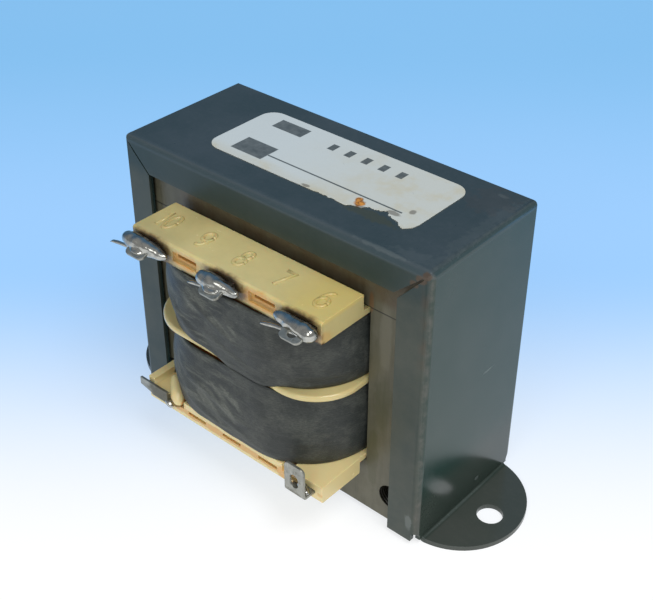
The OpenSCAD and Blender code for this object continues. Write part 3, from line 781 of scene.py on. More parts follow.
def nylon_finish():
    """Aged nylon: amber in the slots with a painted glow, scorched round the upper lugs; painted light low on the
    bobbin, a painted sheen on the upper block and painted shade on the raised numbers.
    """
    s = settings().bobbin
    f = Finish("nylon", IOR=1.53, **{"Subsurface Weight": 0.15, "Subsurface Scale": 0.001})
    mottle = f.noise(f.place, 0.5, 3.0)
    upper = f.band("Z", 43.7, 44.3)
    # amber residue in the lug slots, painted brighter as a glow of light through the nylon
    slot_residue_and_glow = f.both(f.between("Z", 45.4, 47.5, 0.3), f.band("Y", -24.88, -24.4), f.below("Y", -19.0, -18.0),
                   f.rest(f.step(f.math("ABSOLUTE", f.axis(f.place, "X")), 20.2, 20.8)))
    amber = f.most(slot_residue_and_glow, f.blots(AMBER_SPOTS, 1.1, 0.4), f.times(f.blot(*AMBER_END, 0.8, 0.4), 0.5))
    under = f.both(upper, f.below("Z", 44.4, 45.0), f.below("Y", -24.6, -23.8), f.dust(0.4, 0.3, 0.5))
    # the dark spots at the lower block share the scorch colour
    scorch = f.most(f.both(upper, f.blots(BURNS, 0.55, 0.4)), under, f.blots(LOWER_DARK_SPOTS, 0.9, 0.8))
    # painted sheen: the top of the upper block made paler, yellower towards its right end
    block_top = f.both(f.band("Z", 47.6, 48.4), f.band("X", -15.0, -7.0), f.scale(mottle, 0.35, 0.85))
    base = f.coats(
        s.nylon,
        (s.shade, 0.6, f.dust(0.12, 0.35, 0.7)),
        (s.mottle, 0.2, mottle),
        # painted light: the nylon is made paler low on the bobbin, where the upper coil shades it
        (s.lower, 0.85, f.below("Z", 16.0, 40.0)),
        (f.mix(f.band("X", 8.0, 18.0), s.pale, s.warm), 1.0, block_top),
        (s.speck, 0.3, f.dust(0.5, 0.7, 0.76)),
        # painted shade on the raised numbers
        (s.number, 0.25, f.band("Z", 48.68, 48.8)),
        (s.amber, 0.7, amber),
        (s.halo, 0.6, f.both(upper, f.blots(BURN_RIMS, 0.6, 0.4))),
        (s.scorch, 0.93, scorch))
    glossy = f.most(scorch, f.times(f.between("Z", 26.0, 32.0, 1.0), 2.5))
    f.bump(f.plus(f.noise(f.place, 0.6, 2.0), f.times(f.noise(f.place, 2.5, 3.0), 0.3)), 0.02)
    return f.surface(base, f.plus(f.scale(mottle, 0.16, 0.32), f.times(glossy, -0.04)))


# Strokes of each digit in a field one unit high
DIGITS = {
    "0": [arc(0.0, 0.5, 0.30, 0.5, 0, 360, 28)],
    "1": [[(-0.14, 0.82), (0.0, 1.0), (0.0, 0.0)]],
    "6": [arc(0.0, 0.30, 0.31, 0.30, 0, 360, 24), [(-0.31, 0.30)] + arc(0.04, 0.42, 0.34, 0.56, 180, 75, 12)],
    "7": [[(-0.30, 1.0), (0.30, 1.0), (0.10, 0.55), (-0.08, 0.0)]],
    "8": [arc(0.0, 0.75, 0.25, 0.25, 0, 360, 22), arc(0.0, 0.26, 0.31, 0.26, 0, 360, 24)],
    "9": [arc(0.0, 0.70, 0.31, 0.30, 0, 360, 24), [(0.31, 0.70)] + arc(-0.04, 0.58, 0.34, 0.56, 0, -105, 12)],
}
NUMBERS = {"10": -18.0, "9": -8.8, "8": 0.3, "7": 9.2, "6": 18.2}      # with the middle of each in X
NUMBER_FOOT = -22.0
DIGIT_WIDTH, DIGIT_STEP, DIGIT_RELIEF = 0.72, 0.62, 0.75


def moulded_numbers(name):
    """Raised strokes of the terminal numbers on the upper block."""
    s = settings().bobbin
    tall, wide = s.digit / MM, s.digit / MM * DIGIT_WIDTH
    curve = bpy.data.curves.new(name, "CURVE")
    curve.dimensions, curve.use_fill_caps = "3D", True
    curve.bevel_depth, curve.bevel_resolution = s.stroke / 2, 3
    for text, x in NUMBERS.items():
        for place, sign in enumerate(text):
            shift = (place - (len(text) - 1) / 2) * DIGIT_STEP
            for stroke in DIGITS[sign]:
                points = [(x + (u + shift) * wide, NUMBER_FOOT + v * tall) for u, v in stroke]
                add_line(curve, points)
    mesh = made_plain(maker(name, curve), name)
    block_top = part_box("bobbin")[1].z
    mesh.transform(Matrix.Translation((0, 0, block_top)) @ Matrix.Diagonal((1.0, 1.0, DIGIT_RELIEF, 1.0)))
    outwards(mesh)
    mesh.shade_smooth()
    return mesh


class TRANSFORMER_OT_bobbin(bpy.types.Operator):
    """Round the moulded edges of the bobbin and raise its terminal numbers"""

    bl_idname = "transformer.mould_bobbin"
    bl_label = "Mould Bobbin"

    def execute(self, context):
        s, nylon = settings().bobbin, nylon_finish()
        upper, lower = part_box("secondary_tape")[0].z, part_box("primary_tape")[1].z

        def on_flange(edge):
            return all(lower < v.co.z < upper for v in edge.verts)

        def clear_of_tube(edge):
            return all(abs(v.co.x) > TUBE_X or abs(v.co.y) > TUBE_Y for v in edge.verts)

        shape = merged("bobbin")
        round_edges(shape, [e for e in sharp_edges(shape) if on_flange(e) and clear_of_tube(e)], s.rim, 4)
        round_edges(shape, [e for e in sharp_edges(shape) if not on_flange(e)], s.edge, 2)
        piece_from(shaped(shape, "moulded_bobbin", nylon), "moulded_bobbin", "bobbin")
        piece_from(moulded_numbers("terminal_numbers"), "terminal_numbers", material=nylon)
        sleeve = flowed_lump("lead_sleeve", ridge(*SLEEVE), 5.0, 0.06)
        piece_from(sleeve, "lead_sleeve", material=nylon)
        return {"FINISHED"}


# Coils

UV_SPAN = 100.0                                 # millimetres in one unit of the tape's map
SMEARS = [((-6.0, -26.0, 40.6), (5.0, 3.0, 2.8)), ((0.5, -26.0, 37.8), (5.0, 3.0, 2.2)),
          ((-15.0, -22.0, 37.0), (6.0, 6.0, 7.0)), ((-2.0, -26.0, 20.0), (7.0, 3.0, 5.5)),
          ((-14.0, -23.0, 22.0), (6.0, 5.0, 5.0))]
WIRE_TURNS = 1.6                                # turns of wire to a millimetre

# Folds of the tape: place along it, height, slope, width, reach and how far they stand out
UPPER_FOLDS = [
    (-17.0, 39.5, -0.55, 0.5, 9.0, 0.22), (-13.0, 36.5, -0.5, 0.6, 8.0, 0.28),
    (-9.0, 33.5, -0.45, 0.7, 9.0, 0.25), (-20.0, 42.0, -0.5, 0.5, 6.0, 0.2),
    (-3.0, 38.5, -0.4, 0.5, 7.0, 0.16), (2.0, 33.0, -0.3, 0.6, 6.0, 0.14),
    (-24.0, 37.0, -0.6, 0.6, 6.0, 0.22), (16.0, 31.5, 0.05, 0.35, 10.0, 0.14),
    (12.0, 36.5, 0.02, 0.3, 12.0, 0.06),
]
LOWER_FOLDS = [
    (-16.0, 23.0, -0.5, 0.8, 9.0, 0.3), (-11.0, 18.5, -0.42, 0.9, 9.0, 0.32),
    (-22.0, 20.5, -0.5, 0.7, 6.0, 0.25), (-4.0, 21.5, -0.32, 0.7, 8.0, 0.2),
    (1.0, 17.0, -0.25, 0.6, 8.0, 0.16), (14.0, 25.5, 0.03, 0.35, 12.0, 0.08),
    (12.0, 19.0, 0.02, 0.35, 12.0, 0.06), (6.0, 15.2, 0.0, 0.4, 12.0, 0.12),
]
LOOSE_FOLDS, LOOSE_FROM = 14, 30.0              # chance folds away from the front
AROUND, ROWS = 440, 34                          # points round a coil and rows up its side
BULGE_FROM, BULGE_TO, BULGE_RAMP = -3.3, 13.7, 5.0      # stretch of the front that hangs over the flange
BULGE_OUT, BULGE_SHARE = 0.25, 0.2              # how far it stands out, and its share of the height
HOLLOW_DEPTH, HOLLOW_PLACE, HOLLOW_WIDTH = 0.8, -21.0, 9.0      # hollow beside the flange at the left
FURTHEST_IN = -0.2
TUCK, TUCK_WIDTH = 0.12, 0.35                   # rounding of the tape's two edges
LUMPS, HEM, LIP_SHARE = 0.07, 0.1, 0.65         # unevenness, and the turned-in edges
FACING_BACK, MARGIN = 0.4, 0.01                 # keeps the back of the coils inside the CAD box


def tape_finish():
    """Dull black cloth tape with dust in its folds."""
    s = settings().coils
    f = Finish("coil tape", IOR=1.45)
    uv = f.vector("MULTIPLY", f.node("ShaderNodeUVMap", uv_map="along").outputs[0], (UV_SPAN,) * 3)
    left = f.rest(f.step(f.axis(uv, "X"), -6.0, 12.0))
    weave = f.noise(f.turned(uv, (1.6, 5.0, 1.0)), 1.0, 5.0, 0.7)
    threads = f.step(weave, 0.38, 0.64)
    folds = f.dust(1.0, 0.46, 0.64, f.turned(uv, (0.09, 0.6, 1.0), (0.0, 0.0, 0.5)))
    slanted = f.turned(f.turned(uv, (1.0, 1.0, 1.0), (0.0, 0.0, 0.6)), (0.35, 1.2, 1.0))
    smears = f.both(f.blots(SMEARS, 1.2, 0.4), f.step(f.noise(slanted, 0.4, 2.0, 0.45), 0.34, 0.68))
    dusty = f.most(f.both(folds, f.scale(left, 0.1, 1.0)), f.times(f.dust(0.2, 0.42, 0.64, uv), 0.4),
                   f.times(smears, 1.25))
    dusty = f.both(dusty, f.scale(threads, 0.45, 1.0))
    base = f.coats(s.tape, (s.thread, 0.4, threads), (s.dust, 0.62, dusty),
                   (s.lint, 0.25, f.dust(1.6, 0.68, 0.74, uv)))
    f.bump(f.plus(weave, f.times(folds, 0.5)), 0.06)
    return f.surface(base, f.plus(f.scale(weave, 0.4, 0.6), f.times(dusty, 0.2)))


def copper_finish():
    """Enamelled winding wire, wound in close turns."""
    s = settings().coils
    f = Finish("winding wire", IOR=1.5)
    turns = f.math("FRACT", f.times(f.axis(f.place, "Z"), WIRE_TURNS))
    tone = f.noise(f.place, 0.6, 3.0)
    lead = f.below("Y", -25.0, -24.7)
    base = f.coats(s.copper, (s.glint, 0.6, tone), (s.lead, 1.0, lead))
    f.bump(f.times(turns, f.rest(turns)), 0.3)
    return f.surface(base, f.scale(tone, 0.25, 0.4), f.both(f.scale(tone, 0.6, 0.8), f.scale(lead, 1.0, 0.2)))


def round_outline(s, half_x, half_y, r):
    """Points, outward normals and whole length of a rounded rectangle, s from the middle of its front."""
    fx, fy, turn = half_x - r, half_y - r, r * math.pi / 2
    parts = [("line", (0, -half_y), (1, 0), fx), ("turn", (fx, -fy), -90, turn),
             ("line", (half_x, -fy), (0, 1), 2 * fy), ("turn", (fx, fy), 0, turn),
             ("line", (fx, half_y), (-1, 0), 2 * fx), ("turn", (-fx, fy), 90, turn),
             ("line", (-half_x, fy), (0, -1), 2 * fy), ("turn", (-fx, -fy), 180, turn),
             ("line", (-fx, -half_y), (1, 0), fx)]
    whole = sum(part[3] for part in parts)
    points, normals = [], []
    for value in s:
        value = value % whole
        for part in parts[:-1]:
            if value <= part[3]:
                break
            value -= part[3]
        else:
            part = parts[-1]
        kind, start, way, _ = part
        if kind == "line":
            points.append((start[0] + way[0] * value, start[1] + way[1] * value))
            normals.append((way[1], -way[0]))
        else:
            turned = math.radians(way) + value / r
            normals.append((math.cos(turned), math.sin(turned)))
            points.append((start[0] + r * math.cos(turned), start[1] + r * math.sin(turned)))
    return np.array(points), np.array(normals), whole


def fold_height(s, z, folds):
    height = np.zeros_like(s)
    for s0, z0, slope, width, reach, top in folds:
        across = (z - z0 - slope * (s - s0)) / math.hypot(1.0, slope) / width
        height += top * np.exp(-across ** 2 - ((s - s0) / reach) ** 2)
    return height


def loose_folds(seed, bottom, top, whole):
    """Chance folds on the sides and the back of a coil."""
    rng = random.Random(seed)
    folds = []
    for _ in range(LOOSE_FOLDS):
        start = rng.choice((-1, 1)) * rng.uniform(LOOSE_FROM, whole / 2)
        folds.append((start, rng.uniform(bottom + 2, top - 2), rng.uniform(-0.4, 0.4), rng.uniform(0.4, 0.8),
                      rng.uniform(4, 9), rng.uniform(0.06, 0.16)))
    return folds


def taped_coil(name, node, folds, droop_side, seed):
    """Closed shell of wrapped tape: swollen, folded, and bulging over the middle flange at the front."""
    s = settings().coils
    low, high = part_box(node)
    swell, wall, droop = s.swell / MM, s.thickness / MM, droop_side * s.droop / MM
    half_x, half_y = high.x / MM - swell, high.y / MM - swell
    bottom, top = low.z / MM, high.z / MM
    size = (half_x, half_y, half_x - s.flat / MM)
    whole = round_outline([], *size)[2]
    along = np.linspace(-whole / 2, whole / 2, AROUND, endpoint=False)
    flat, normal, _ = round_outline(along, *size)
    bulged = np.clip((along - BULGE_FROM) / BULGE_RAMP, 0, 1) * np.clip((BULGE_TO - along) / BULGE_RAMP, 0, 1)
    bulged = bulged * bulged * (3 - 2 * bulged)
    hollow = HOLLOW_DEPTH * np.exp(-((along - HOLLOW_PLACE) / HOLLOW_WIDTH) ** 2)
    folds = folds + loose_folds(seed, bottom, top, whole)
    inner, lip = flat - normal * wall, flat - normal * wall * LIP_SHARE
    rings = [(inner, np.full(AROUND, bottom + HEM)), (lip, np.full(AROUND, bottom))]
    for v in np.arange(ROWS + 1) / ROWS:
        z = np.full(AROUND, bottom + v * (top - bottom))
        lump = np.array([noise.noise(Vector((a * 0.3, b * 0.7, seed * 7.3))) for a, b in zip(along, z)])
        near = v if droop_side > 0 else 1 - v
        reach = np.clip((near - 1 + BULGE_SHARE) / BULGE_SHARE, 0, 1) ** 2
        edge = min(v, 1 - v) * (top - bottom)
        out = swell * (1 - (2 * v - 1) ** 2) + fold_height(along, z, folds) + LUMPS * lump
        out = np.maximum(out - near ** 2 * hollow, FURTHEST_IN)
        out = out - TUCK * max(0.0, 1 - edge / TUCK_WIDTH) ** 2 * (1 - bulged)
        out = np.where(normal[:, 1] > FACING_BACK, np.minimum(out, swell - MARGIN),
                       out + BULGE_OUT * reach * bulged)
        rings.append((flat + normal * out[:, None], z + droop * reach * bulged))
    rings += [(lip, np.full(AROUND, top)), (inner, np.full(AROUND, top - HEM))]
    points = [(x, y, height) for plane, z in rings for (x, y), height in zip(plane, z)]
    faces = []
    for row in range(len(rings)):
        a, b = row * AROUND, (row + 1) % len(rings) * AROUND
        for k in range(AROUND):
            after = (k + 1) % AROUND
            faces.append((a + k, a + after, b + after, b + k))
    mesh = mesh_from(name, points, faces)
    layer = mesh.uv_layers.new(name="along")
    for loop in mesh.loops:
        z = mesh.vertices[loop.vertex_index].co.z / MM
        layer.data[loop.index].uv = (along[loop.vertex_index % AROUND] / UV_SPAN, z / UV_SPAN)
    return mesh


class TRANSFORMER_OT_coils(bpy.types.Operator):
    """Wrap the two coils in tape and give the winding wire its finish"""

    bl_idname = "transformer.wind_coils"
    bl_label = "Wind Coils"

    def execute(self, context):
        tape, copper = tape_finish(), copper_finish()
        piece_from(taped_coil("upper_tape", "secondary_tape", UPPER_FOLDS, -1, 3),
                   "upper_tape", "secondary_tape", tape)
        piece_from(taped_coil("lower_tape", "primary_tape", LOWER_FOLDS, 1, 8),
                   "lower_tape", "primary_tape", tape)
        for node in ("primary_winding", "secondary_winding"):
            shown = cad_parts[node]
            if not shown.material_slots:
                shown.data.materials.append(copper)
            for slot in shown.material_slots:
                slot.material = copper
        return {"FINISHED"}


# Lugs and solder: places and radii in millimetres

LUGS = ("1", "5", "6", "8", "10")
# darker olive patches over lug 1 and low on lug 5
LUG_DARK_PATCHES = [((-17.4, -25.8, 12.9), (4.0, 1.6, 3.2)), ((18.0, -27.0, 12.0), (2.6, 1.2, 1.2))]
RIDGES = {
    "solder_10": ((-21.2, -26.4, 46.9), (-12.9, -25.8, 46.1),
                  (1.3, 1.6, 1.65, 1.6, 1.5, 1.35, 1.15, 0.9, 0.6)),
    "solder_8": ((-3.1, -26.3, 46.9), (4.0, -25.8, 46.3),
                 (1.2, 1.45, 1.55, 1.45, 1.35, 1.2, 1.0, 0.85, 0.65)),
    "solder_6": ((13.6, -25.9, 46.9), (20.5, -26.2, 46.5),
                 (0.9, 1.1, 1.2, 1.25, 1.3, 1.35, 1.45, 1.5, 1.35)),
    "solder_1": ((-16.2, -25.5, 12.3), (-15.0, -25.7, 12.0), (0.6, 0.7, 0.75, 0.7, 0.55)),
    "solder_5": ((17.4, -25.4, 12.1), (19.6, -26.2, 12.1), (0.7, 0.9, 0.9, 0.8, 0.6)),
}
EYE_FILLS = {
    "solder_10": [((-18.2, -27.1, 46.1), (1.9, 1.35, 0.6))],
    "solder_8": [((-0.2, -27.1, 46.1), (1.9, 1.35, 0.6))],
}
SLEEVE = ((-17.4, -22.2, 15.0), (-14.1, -24.5, 13.1), (0.9, 1.1, 1.2, 1.3, 1.4, 1.5, 1.5, 1.4, 1.2))
TAILS = {
    "wire_tail_10": [(-16.0, -26.1, 45.7), (-19.0, -26.3, 45.4), (-22.0, -26.5, 45.05), (-24.0, -26.6, 44.9),
                     (-25.4, -26.7, 44.7), (-25.8, -26.75, 44.6)],
    "wire_tail_8": [(1.6, -26.1, 45.6), (-1.0, -26.3, 45.4), (-3.6, -26.5, 45.1), (-5.2, -26.6, 44.9),
                    (-5.9, -26.7, 44.8), (-6.15, -26.7, 44.75)],
    "wire_tail_6": [(19.6, -26.1, 45.6), (16.6, -26.3, 45.3), (13.6, -26.5, 45.0), (11.9, -26.8, 44.8),
                    (11.0, -26.9, 44.65), (10.75, -26.9, 44.6)],
}
PINCH = {0: 0.25, 1: 0.75}                      # height of a wire's last two rings, from its cut end
WIRE_SIDES, RIDGE_BALLS = 14, 36
UNEVEN = ((0.7, 1.0), (1.6, 0.12))              # scale and share of the solder's unevenness


def tin_finish():
    """Dull tin plate with grey mottling and fine scratches."""
    s = settings().lugs
    f = Finish("tin plate", IOR=1.5)
    cloud, fine = f.dust(0.5, 0.35, 0.68), f.noise(f.place, 3.0, 4.0, 0.6)
    scuffs = f.effect("scratches", f.turned(f.place, (5.0, 0.6, 0.6), (0.2, 0.3, 0.8)), Scale=1.2, Level=0.6)
    # darker olive patches on lugs 1 and 5
    dirt = f.blots(LUG_DARK_PATCHES, 0.8, 0.8)
    base = f.coats(s.tin, (s.cloud, 0.45, cloud), (s.tarnish, 0.5, f.dust(0.9, 0.5, 0.7)),
                   (s.scuff, 0.4, scuffs), (s.dirt, 0.85, dirt))
    f.bump(f.plus(fine, cloud), 0.02)
    metallic = f.both(f.scale(cloud, 0.75, 0.9), f.scale(dirt, 1.0, 0.3))
    return f.surface(base, f.scale(fine, 0.3, 0.5), metallic)


def solder_finish():
    """Bright flowed solder under streaks of flux."""
    s = settings().lugs
    f = Finish("solder", IOR=1.5)
    grain, dull = f.noise(f.place, 2.0, 4.0, 0.6), f.dust(0.6, 0.42, 0.68)
    flux = f.both(f.dust(0.7, 0.42, 0.6), f.band("Y", -26.2, -25.2))
    base = f.coats(s.solder, (s.dull, 0.6, dull), (s.flux, 0.85, flux))
    f.bump(grain, 0.006)
    return f.surface(base, f.plus(f.scale(grain, 0.1, 0.2), f.times(dull, 0.15)), f.rest(f.times(flux, 0.7)))


class TRANSFORMER_OT_lugs(bpy.types.Operator):
    """Round the stamped edges of the solder lugs and tin them"""

    bl_idname = "transformer.press_lugs"
    bl_label = "Press Lugs"

    def execute(self, context):
        tin = tin_finish()
        for lug in LUGS:
            shape = merged("terminal_" + lug)
            round_edges(shape, sharp_edges(shape), settings().lugs.edge, 2)
            piece_from(shaped(shape, "lug_" + lug, tin), "lug_" + lug, "terminal_" + lug)
        return {"FINISHED"}


def ridge(start, end, radii):
    """Balls in a close row that melt into one ridge."""
    share = np.linspace(0.0, 1.0, RIDGE_BALLS)
    sizes = np.interp(share, np.linspace(0.0, 1.0, len(radii)), radii)
    return [(Vector(start).lerp(Vector(end), t), (r, r, r)) for t, r in zip(share, sizes)]


def flowed_lump(name, lumps, seed, uneven):
    """Rounded lumps flowed together."""
    shape = bmesh.new()
    for centre, radii in lumps:
        place = Matrix.Translation(Vector(centre) * MM)
        size = Matrix.Diagonal(tuple(r * MM for r in radii) + (1.0,))
        bmesh.ops.create_icosphere(shape, subdivisions=3, radius=1.0, matrix=place @ size)
    helper = maker(name, baked(shape, name))
    melted = helper.modifiers.new("melt", "REMESH")
    melted.mode, melted.voxel_size = "VOXEL", settings().lugs.grain
    smooth = helper.modifiers.new("flow", "SMOOTH")
    smooth.factor, smooth.iterations = 0.5, 50
    mesh = made_plain(helper, name)
    for vertex in mesh.vertices:
        p = vertex.co / MM + Vector((0.0, 0.0, seed))
        height = sum(share * noise.noise(p * scale) for scale, share in UNEVEN)
        vertex.co += vertex.normal * uneven * MM * height
    mesh.shade_smooth()
    return mesh


def wire_tube(name, path, radius):
    """Round wire along a path, pinched where it was cut off."""
    points, faces = [], []
    last = len(path) - 1
    for k, centre in enumerate(path):
        way = (Vector(path[min(k + 1, last)]) - Vector(path[max(k - 1, 0)])).normalized()
        across = way.cross(Vector((0, 0, 1))).normalized()
        over = across.cross(way) * PINCH.get(last - k, 1.0)
        for turned in np.arange(WIRE_SIDES) * 2 * math.pi / WIRE_SIDES:
            points.append(Vector(centre) + radius * (math.cos(turned) * across + math.sin(turned) * over))
    for k in range(last):
        for side in range(WIRE_SIDES):
            a, b = k * WIRE_SIDES + side, k * WIRE_SIDES + (side + 1) % WIRE_SIDES
            faces.append((a, b, b + WIRE_SIDES, a + WIRE_SIDES))
    faces.append(tuple(range(WIRE_SIDES)))
    faces.append(tuple(range(len(points) - 1, len(points) - 1 - WIRE_SIDES, -1)))
    return mesh_from(name, points, faces)


class TRANSFORMER_OT_solder(bpy.types.Operator):
    """Flow solder on to the lugs and leave the cut wire ends in it"""

    bl_idname = "transformer.flow_solder"
    bl_label = "Flow Solder"

    def execute(self, context):
        solder = solder_finish()
        for number, (node, line) in enumerate(RIDGES.items()):
            mesh = flowed_lump("flowed_" + node, ridge(*line) + EYE_FILLS.get(node, []), number * 3.1, 0.16)
            piece_from(mesh, "flowed_" + node, node, solder)
        for node, path in TAILS.items():
            mesh = wire_tube("cut_" + node, path, settings().lugs.wire / 2 / MM)
            piece_from(mesh, "cut_" + node, node, solder)
        return {"FINISHED"}


# Label: places in millimetres from its front left corner, the tear from its front right corner

PRINT = [(4.5, 11.5, 2.15, 6.65, 0.2), (11.7, 41.1, 3.9, 4.15, 0.12), (4.5, 11.3, 12.65, 15.65, 0.12)]
PRINT += [(17.7 + k * 3.8, 19.0 + k * 3.8, 12.65, 14.65, 0.12) for k in range(5)]
FLAKES = [(34.1, 1.9, 1.2, 1.2), (33.3, 2.8, 0.9, 0.9)]
LABEL_DIRT = [(35.4, 0.7, 1.8, 1.2), (40.2, 3.1, 1.6, 0.8), (42.3, 5.4, 0.7, 0.9), (23.5, 0.5, 1.0, 0.5)]
TEAR = [(-24.9, 0.0), (-19.9, 0.05), (-18.5, 0.3), (-16.5, 0.15), (-13.9, 0.0), (-12.9, 0.1), (-12.0, 0.7),
        (-10.2, 1.1), (-9.4, 2.2), (-8.3, 2.0), (-7.4, 2.4), (-6.2, 3.0), (-5.5, 2.2), (-4.6, 1.9),
        (-3.8, 1.7), (-3.0, 1.5), (-2.2, 0.6), (-1.2, 0.35)]
TEAR_SEED, RAGGED_FROM, JAG, SMALL_JAG = 11, -19.5, 0.16, 0.04


def label_finish():
    """White paper gone grey, with plain printed shapes and a yellowed, dirty edge."""
    s = settings().label
    f = Finish("label paper", IOR=1.45)
    x, y, z = (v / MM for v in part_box("label")[0])

    def patch(left, right, front, back, soft):
        return f.effect("patch", Centre=(x + (left + right) / 2, y + (front + back) / 2, z),
                        Size=((right - left) / 2, (back - front) / 2, 1.0), Soft=soft)

    def spots(marks):
        return f.blots([((x + u, y + v, z), (a, b, 1.0)) for u, v, a, b in marks], 0.9, 0.9)

    edge = f.most(f.band("X", x + 10.0, x + 41.0), f.below("Y", y + 0.2, y + 3.4))
    ink = f.both(f.most(*[patch(*mark) for mark in PRINT]), f.scale(f.noise(f.place, 0.9, 3.0), 0.75, 1.0))
    base = f.coats(
        s.paper,
        (s.age, 0.8, f.both(edge, f.scale(f.dust(0.2, 0.42, 0.7), 0.4, 1.0))),
        (s.speck, 0.3, f.dust(1.0, 0.68, 0.74)),
        (s.ink, 1.0, ink),
        (s.dirt, 0.6, spots(LABEL_DIRT)),
        (f.mix(f.dust(1.5, 0.4, 0.6), s.flake, s.burnt), 1.0, spots(FLAKES)))
    f.bump(f.noise(f.place, 1.5, 4.0, 0.6), 0.015)
    return f.surface(base, f.scale(f.noise(f.place, 0.6, 3.0), 0.4, 0.6))


def label_outline():
    """Rounded sheet with a ragged tear in its front edge near the right end."""
    low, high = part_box("label")
    x0, y0, x1, y1 = (v / MM for v in (low.x, low.y, high.x, high.y))
    r = settings().label.corner / MM
    rng = random.Random(TEAR_SEED)
    points = arc(x1 - r, y1 - r, r, r, 0, 90, 10) + arc(x0 + r, y1 - r, r, r, 90, 180, 10)
    points += arc(x0 + r, y0 + r, r, r, 180, 270, 10)
    for (xa, ya), (xb, yb) in zip(TEAR, TEAR[1:]):
        for t in np.linspace(0, 1, 5, endpoint=False):
            jag = rng.uniform(-JAG, JAG) if xa > RAGGED_FROM else rng.uniform(0, SMALL_JAG)
            points.append((x1 + xa + (xb - xa) * t, y0 + max(0.0, ya + (yb - ya) * t + jag)))
    return points + [(x1 - 0.3, y0 + 1.6), (x1, y0 + r)]


class TRANSFORMER_OT_label(bpy.types.Operator):
    """Stick the torn paper label on the top plate"""

    bl_idname = "transformer.stick_label"
    bl_label = "Stick Label"

    def execute(self, context):
        low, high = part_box("label")
        mesh = plate("paper_label", [label_outline()], high.z - low.z)
        mesh.transform(Matrix.Translation((0, 0, (low.z + high.z) / 2)))
        outwards(mesh)
        mesh.materials.clear()
        piece_from(mesh, "paper_label", "label", label_finish())
        return {"FINISHED"}


# Stage

AWAY = (-0.657, 0.754, 0.0)                     # level way from the camera to the object
TARGET, ROLL = Vector((1.13, 0.0, 30.13)) * MM, 0.0017
LIT_POINT = Vector((0.0, 0.0, 0.03))
FLOOR_SIZE, FLOOR_DROP = 20.0, 0.02 * MM
# Place in metres, size, power and tint of each lamp
LAMPS = {
    "key": ((0.42, -0.1, 0.85), 0.45, 4.2, (1.0, 0.99, 0.97)),
    "fill": ((0.2, -0.75, 0.62), 0.5, 2.2, (1.0, 0.99, 0.96)),
}


def floor_finish():
    """Pale floor, lit through, that turns blue away from the camera."""
    s = settings().stage
    f = Finish("floor", IOR=1.3, **{"Emission Strength": s.glow})
    away = f.vector("DOT_PRODUCT", f.place, AWAY)
    tint = f.mix(f.step(away, -42.0, 58.0), s.near, f.mix(f.step(away, 60.0, 190.0), s.middle, s.far))
    tint = f.coats(tint, (s.cloud, 0.03, f.noise(f.place, 0.02, 2.0)))
    f.feed(f.shader.inputs["Emission Color"], tint)
    return f.surface(f.mix(0.66, tint, (0.0, 0.0, 0.0, 1.0)), 0.9)


def soft_light(name, place, size, power, tint):
    lamp = bpy.data.lights.new(name, "AREA")
    lamp.shape, lamp.size, lamp.energy, lamp.color = "DISK", size, power, tint
    made = maker(name, lamp)
    made.location = place
    made.rotation_euler = (LIT_POINT - Vector(place)).to_track_quat("-Z", "Y").to_euler()


def pale_world():
    """White surroundings, blue behind the object."""
    s = settings().stage
    world = bpy.data.worlds.new("studio")
    world.use_nodes = True
    w = Wires(world.node_tree)
    way = w.node("ShaderNodeTexCoord").outputs["Generated"]
    behind = w.step(w.vector("DOT_PRODUCT", way, AWAY), -0.1, 0.6)
    back = world.node_tree.nodes["Background"]
    w.feed(back.inputs["Color"], w.mix(behind, (1.0, 1.0, 1.0, 1.0), s.sky))
    w.feed(back.inputs["Strength"], s.world)
    bpy.context.scene.world = world


def photo_camera():
    """Camera that looks at the object the way the photograph does."""
    s = settings().stage
    lens = bpy.data.cameras.new("camera")
    lens.sensor_fit, lens.sensor_width, lens.lens = "HORIZONTAL", 36.0, s.lens
    lens.clip_start, lens.clip_end = 0.01, 20.0
    camera = maker("camera", lens)
    a, e = s.azimuth, s.elevation
    back = Vector((math.sin(a) * math.cos(e), -math.cos(a) * math.cos(e), math.sin(e)))
    right = Vector((math.cos(a), math.sin(a), 0.0))
    turn = Matrix((right, back.cross(right), back)).transposed().to_4x4()
    camera.matrix_world = (Matrix.Translation(TARGET + back * s.distance) @ turn
                           @ Matrix.Rotation(ROLL, 4, "Z"))
    return camera


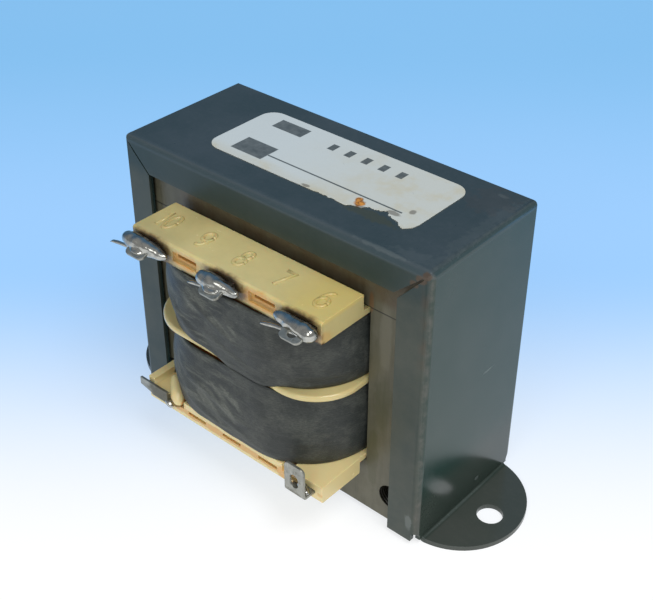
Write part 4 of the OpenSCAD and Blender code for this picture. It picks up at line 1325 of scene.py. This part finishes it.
class TRANSFORMER_OT_stage(bpy.types.Operator):
    """Lay the floor, light the object softly and set the camera"""

    bl_idname = "transformer.light_stage"
    bl_label = "Light Stage"

    def execute(self, context):
        shape = bmesh.new()
        bmesh.ops.create_grid(shape, x_segments=4, y_segments=4, size=FLOOR_SIZE)
        mesh = baked(shape, "floor")
        mesh.transform(Matrix.Translation((0, 0, -FLOOR_DROP)))
        mesh.materials.append(floor_finish())
        floor = maker("floor", mesh)
        pale_world()
        for name, lamp in LAMPS.items():
            soft_light(name, *lamp)
        context.scene.camera = photo_camera()
        context.scene.view_settings.view_transform = "Standard"
        context.scene.view_settings.look = "None"
        return {"FINISHED"}


OPERATORS = (TRANSFORMER_OT_stage, TRANSFORMER_OT_frame, TRANSFORMER_OT_core, TRANSFORMER_OT_bobbin,
             TRANSFORMER_OT_coils, TRANSFORMER_OT_lugs, TRANSFORMER_OT_solder, TRANSFORMER_OT_label)


class TRANSFORMER_PT_sidebar(bpy.types.Panel):
    """Steps and settings of the transformer"""

    bl_label = "Chassis Transformer"
    bl_idname = "TRANSFORMER_PT_sidebar"
    bl_space_type = "VIEW_3D"
    bl_region_type = "UI"
    bl_category = "Transformer"

    def draw(self, context):
        for operator in OPERATORS:
            self.layout.operator(operator.bl_idname)
        for name in GROUPS:
            box = self.layout.box()
            box.label(text=name.capitalize())
            group = getattr(context.scene.transformer, name)
            for setting in group.__annotations__:
                box.prop(group, setting)


CLASSES = tuple(GROUPS.values()) + (TransformerSettings,) + OPERATORS + (TRANSFORMER_PT_sidebar,)


def register():
    for item in CLASSES:
        bpy.utils.register_class(item)
    bpy.types.Scene.transformer = bpy.props.PointerProperty(type=TransformerSettings)


def unregister():
    del bpy.types.Scene.transformer
    for item in reversed(CLASSES):
        bpy.utils.unregister_class(item)


def main():
    register()
    bpy.ops.transformer.light_stage()
    bpy.ops.transformer.paint_frame()
    bpy.ops.transformer.stack_core()
    bpy.ops.transformer.mould_bobbin()
    bpy.ops.transformer.wind_coils()
    bpy.ops.transformer.press_lugs()
    bpy.ops.transformer.flow_solder()
    bpy.ops.transformer.stick_label()


if __name__ == "__main__":
    main()
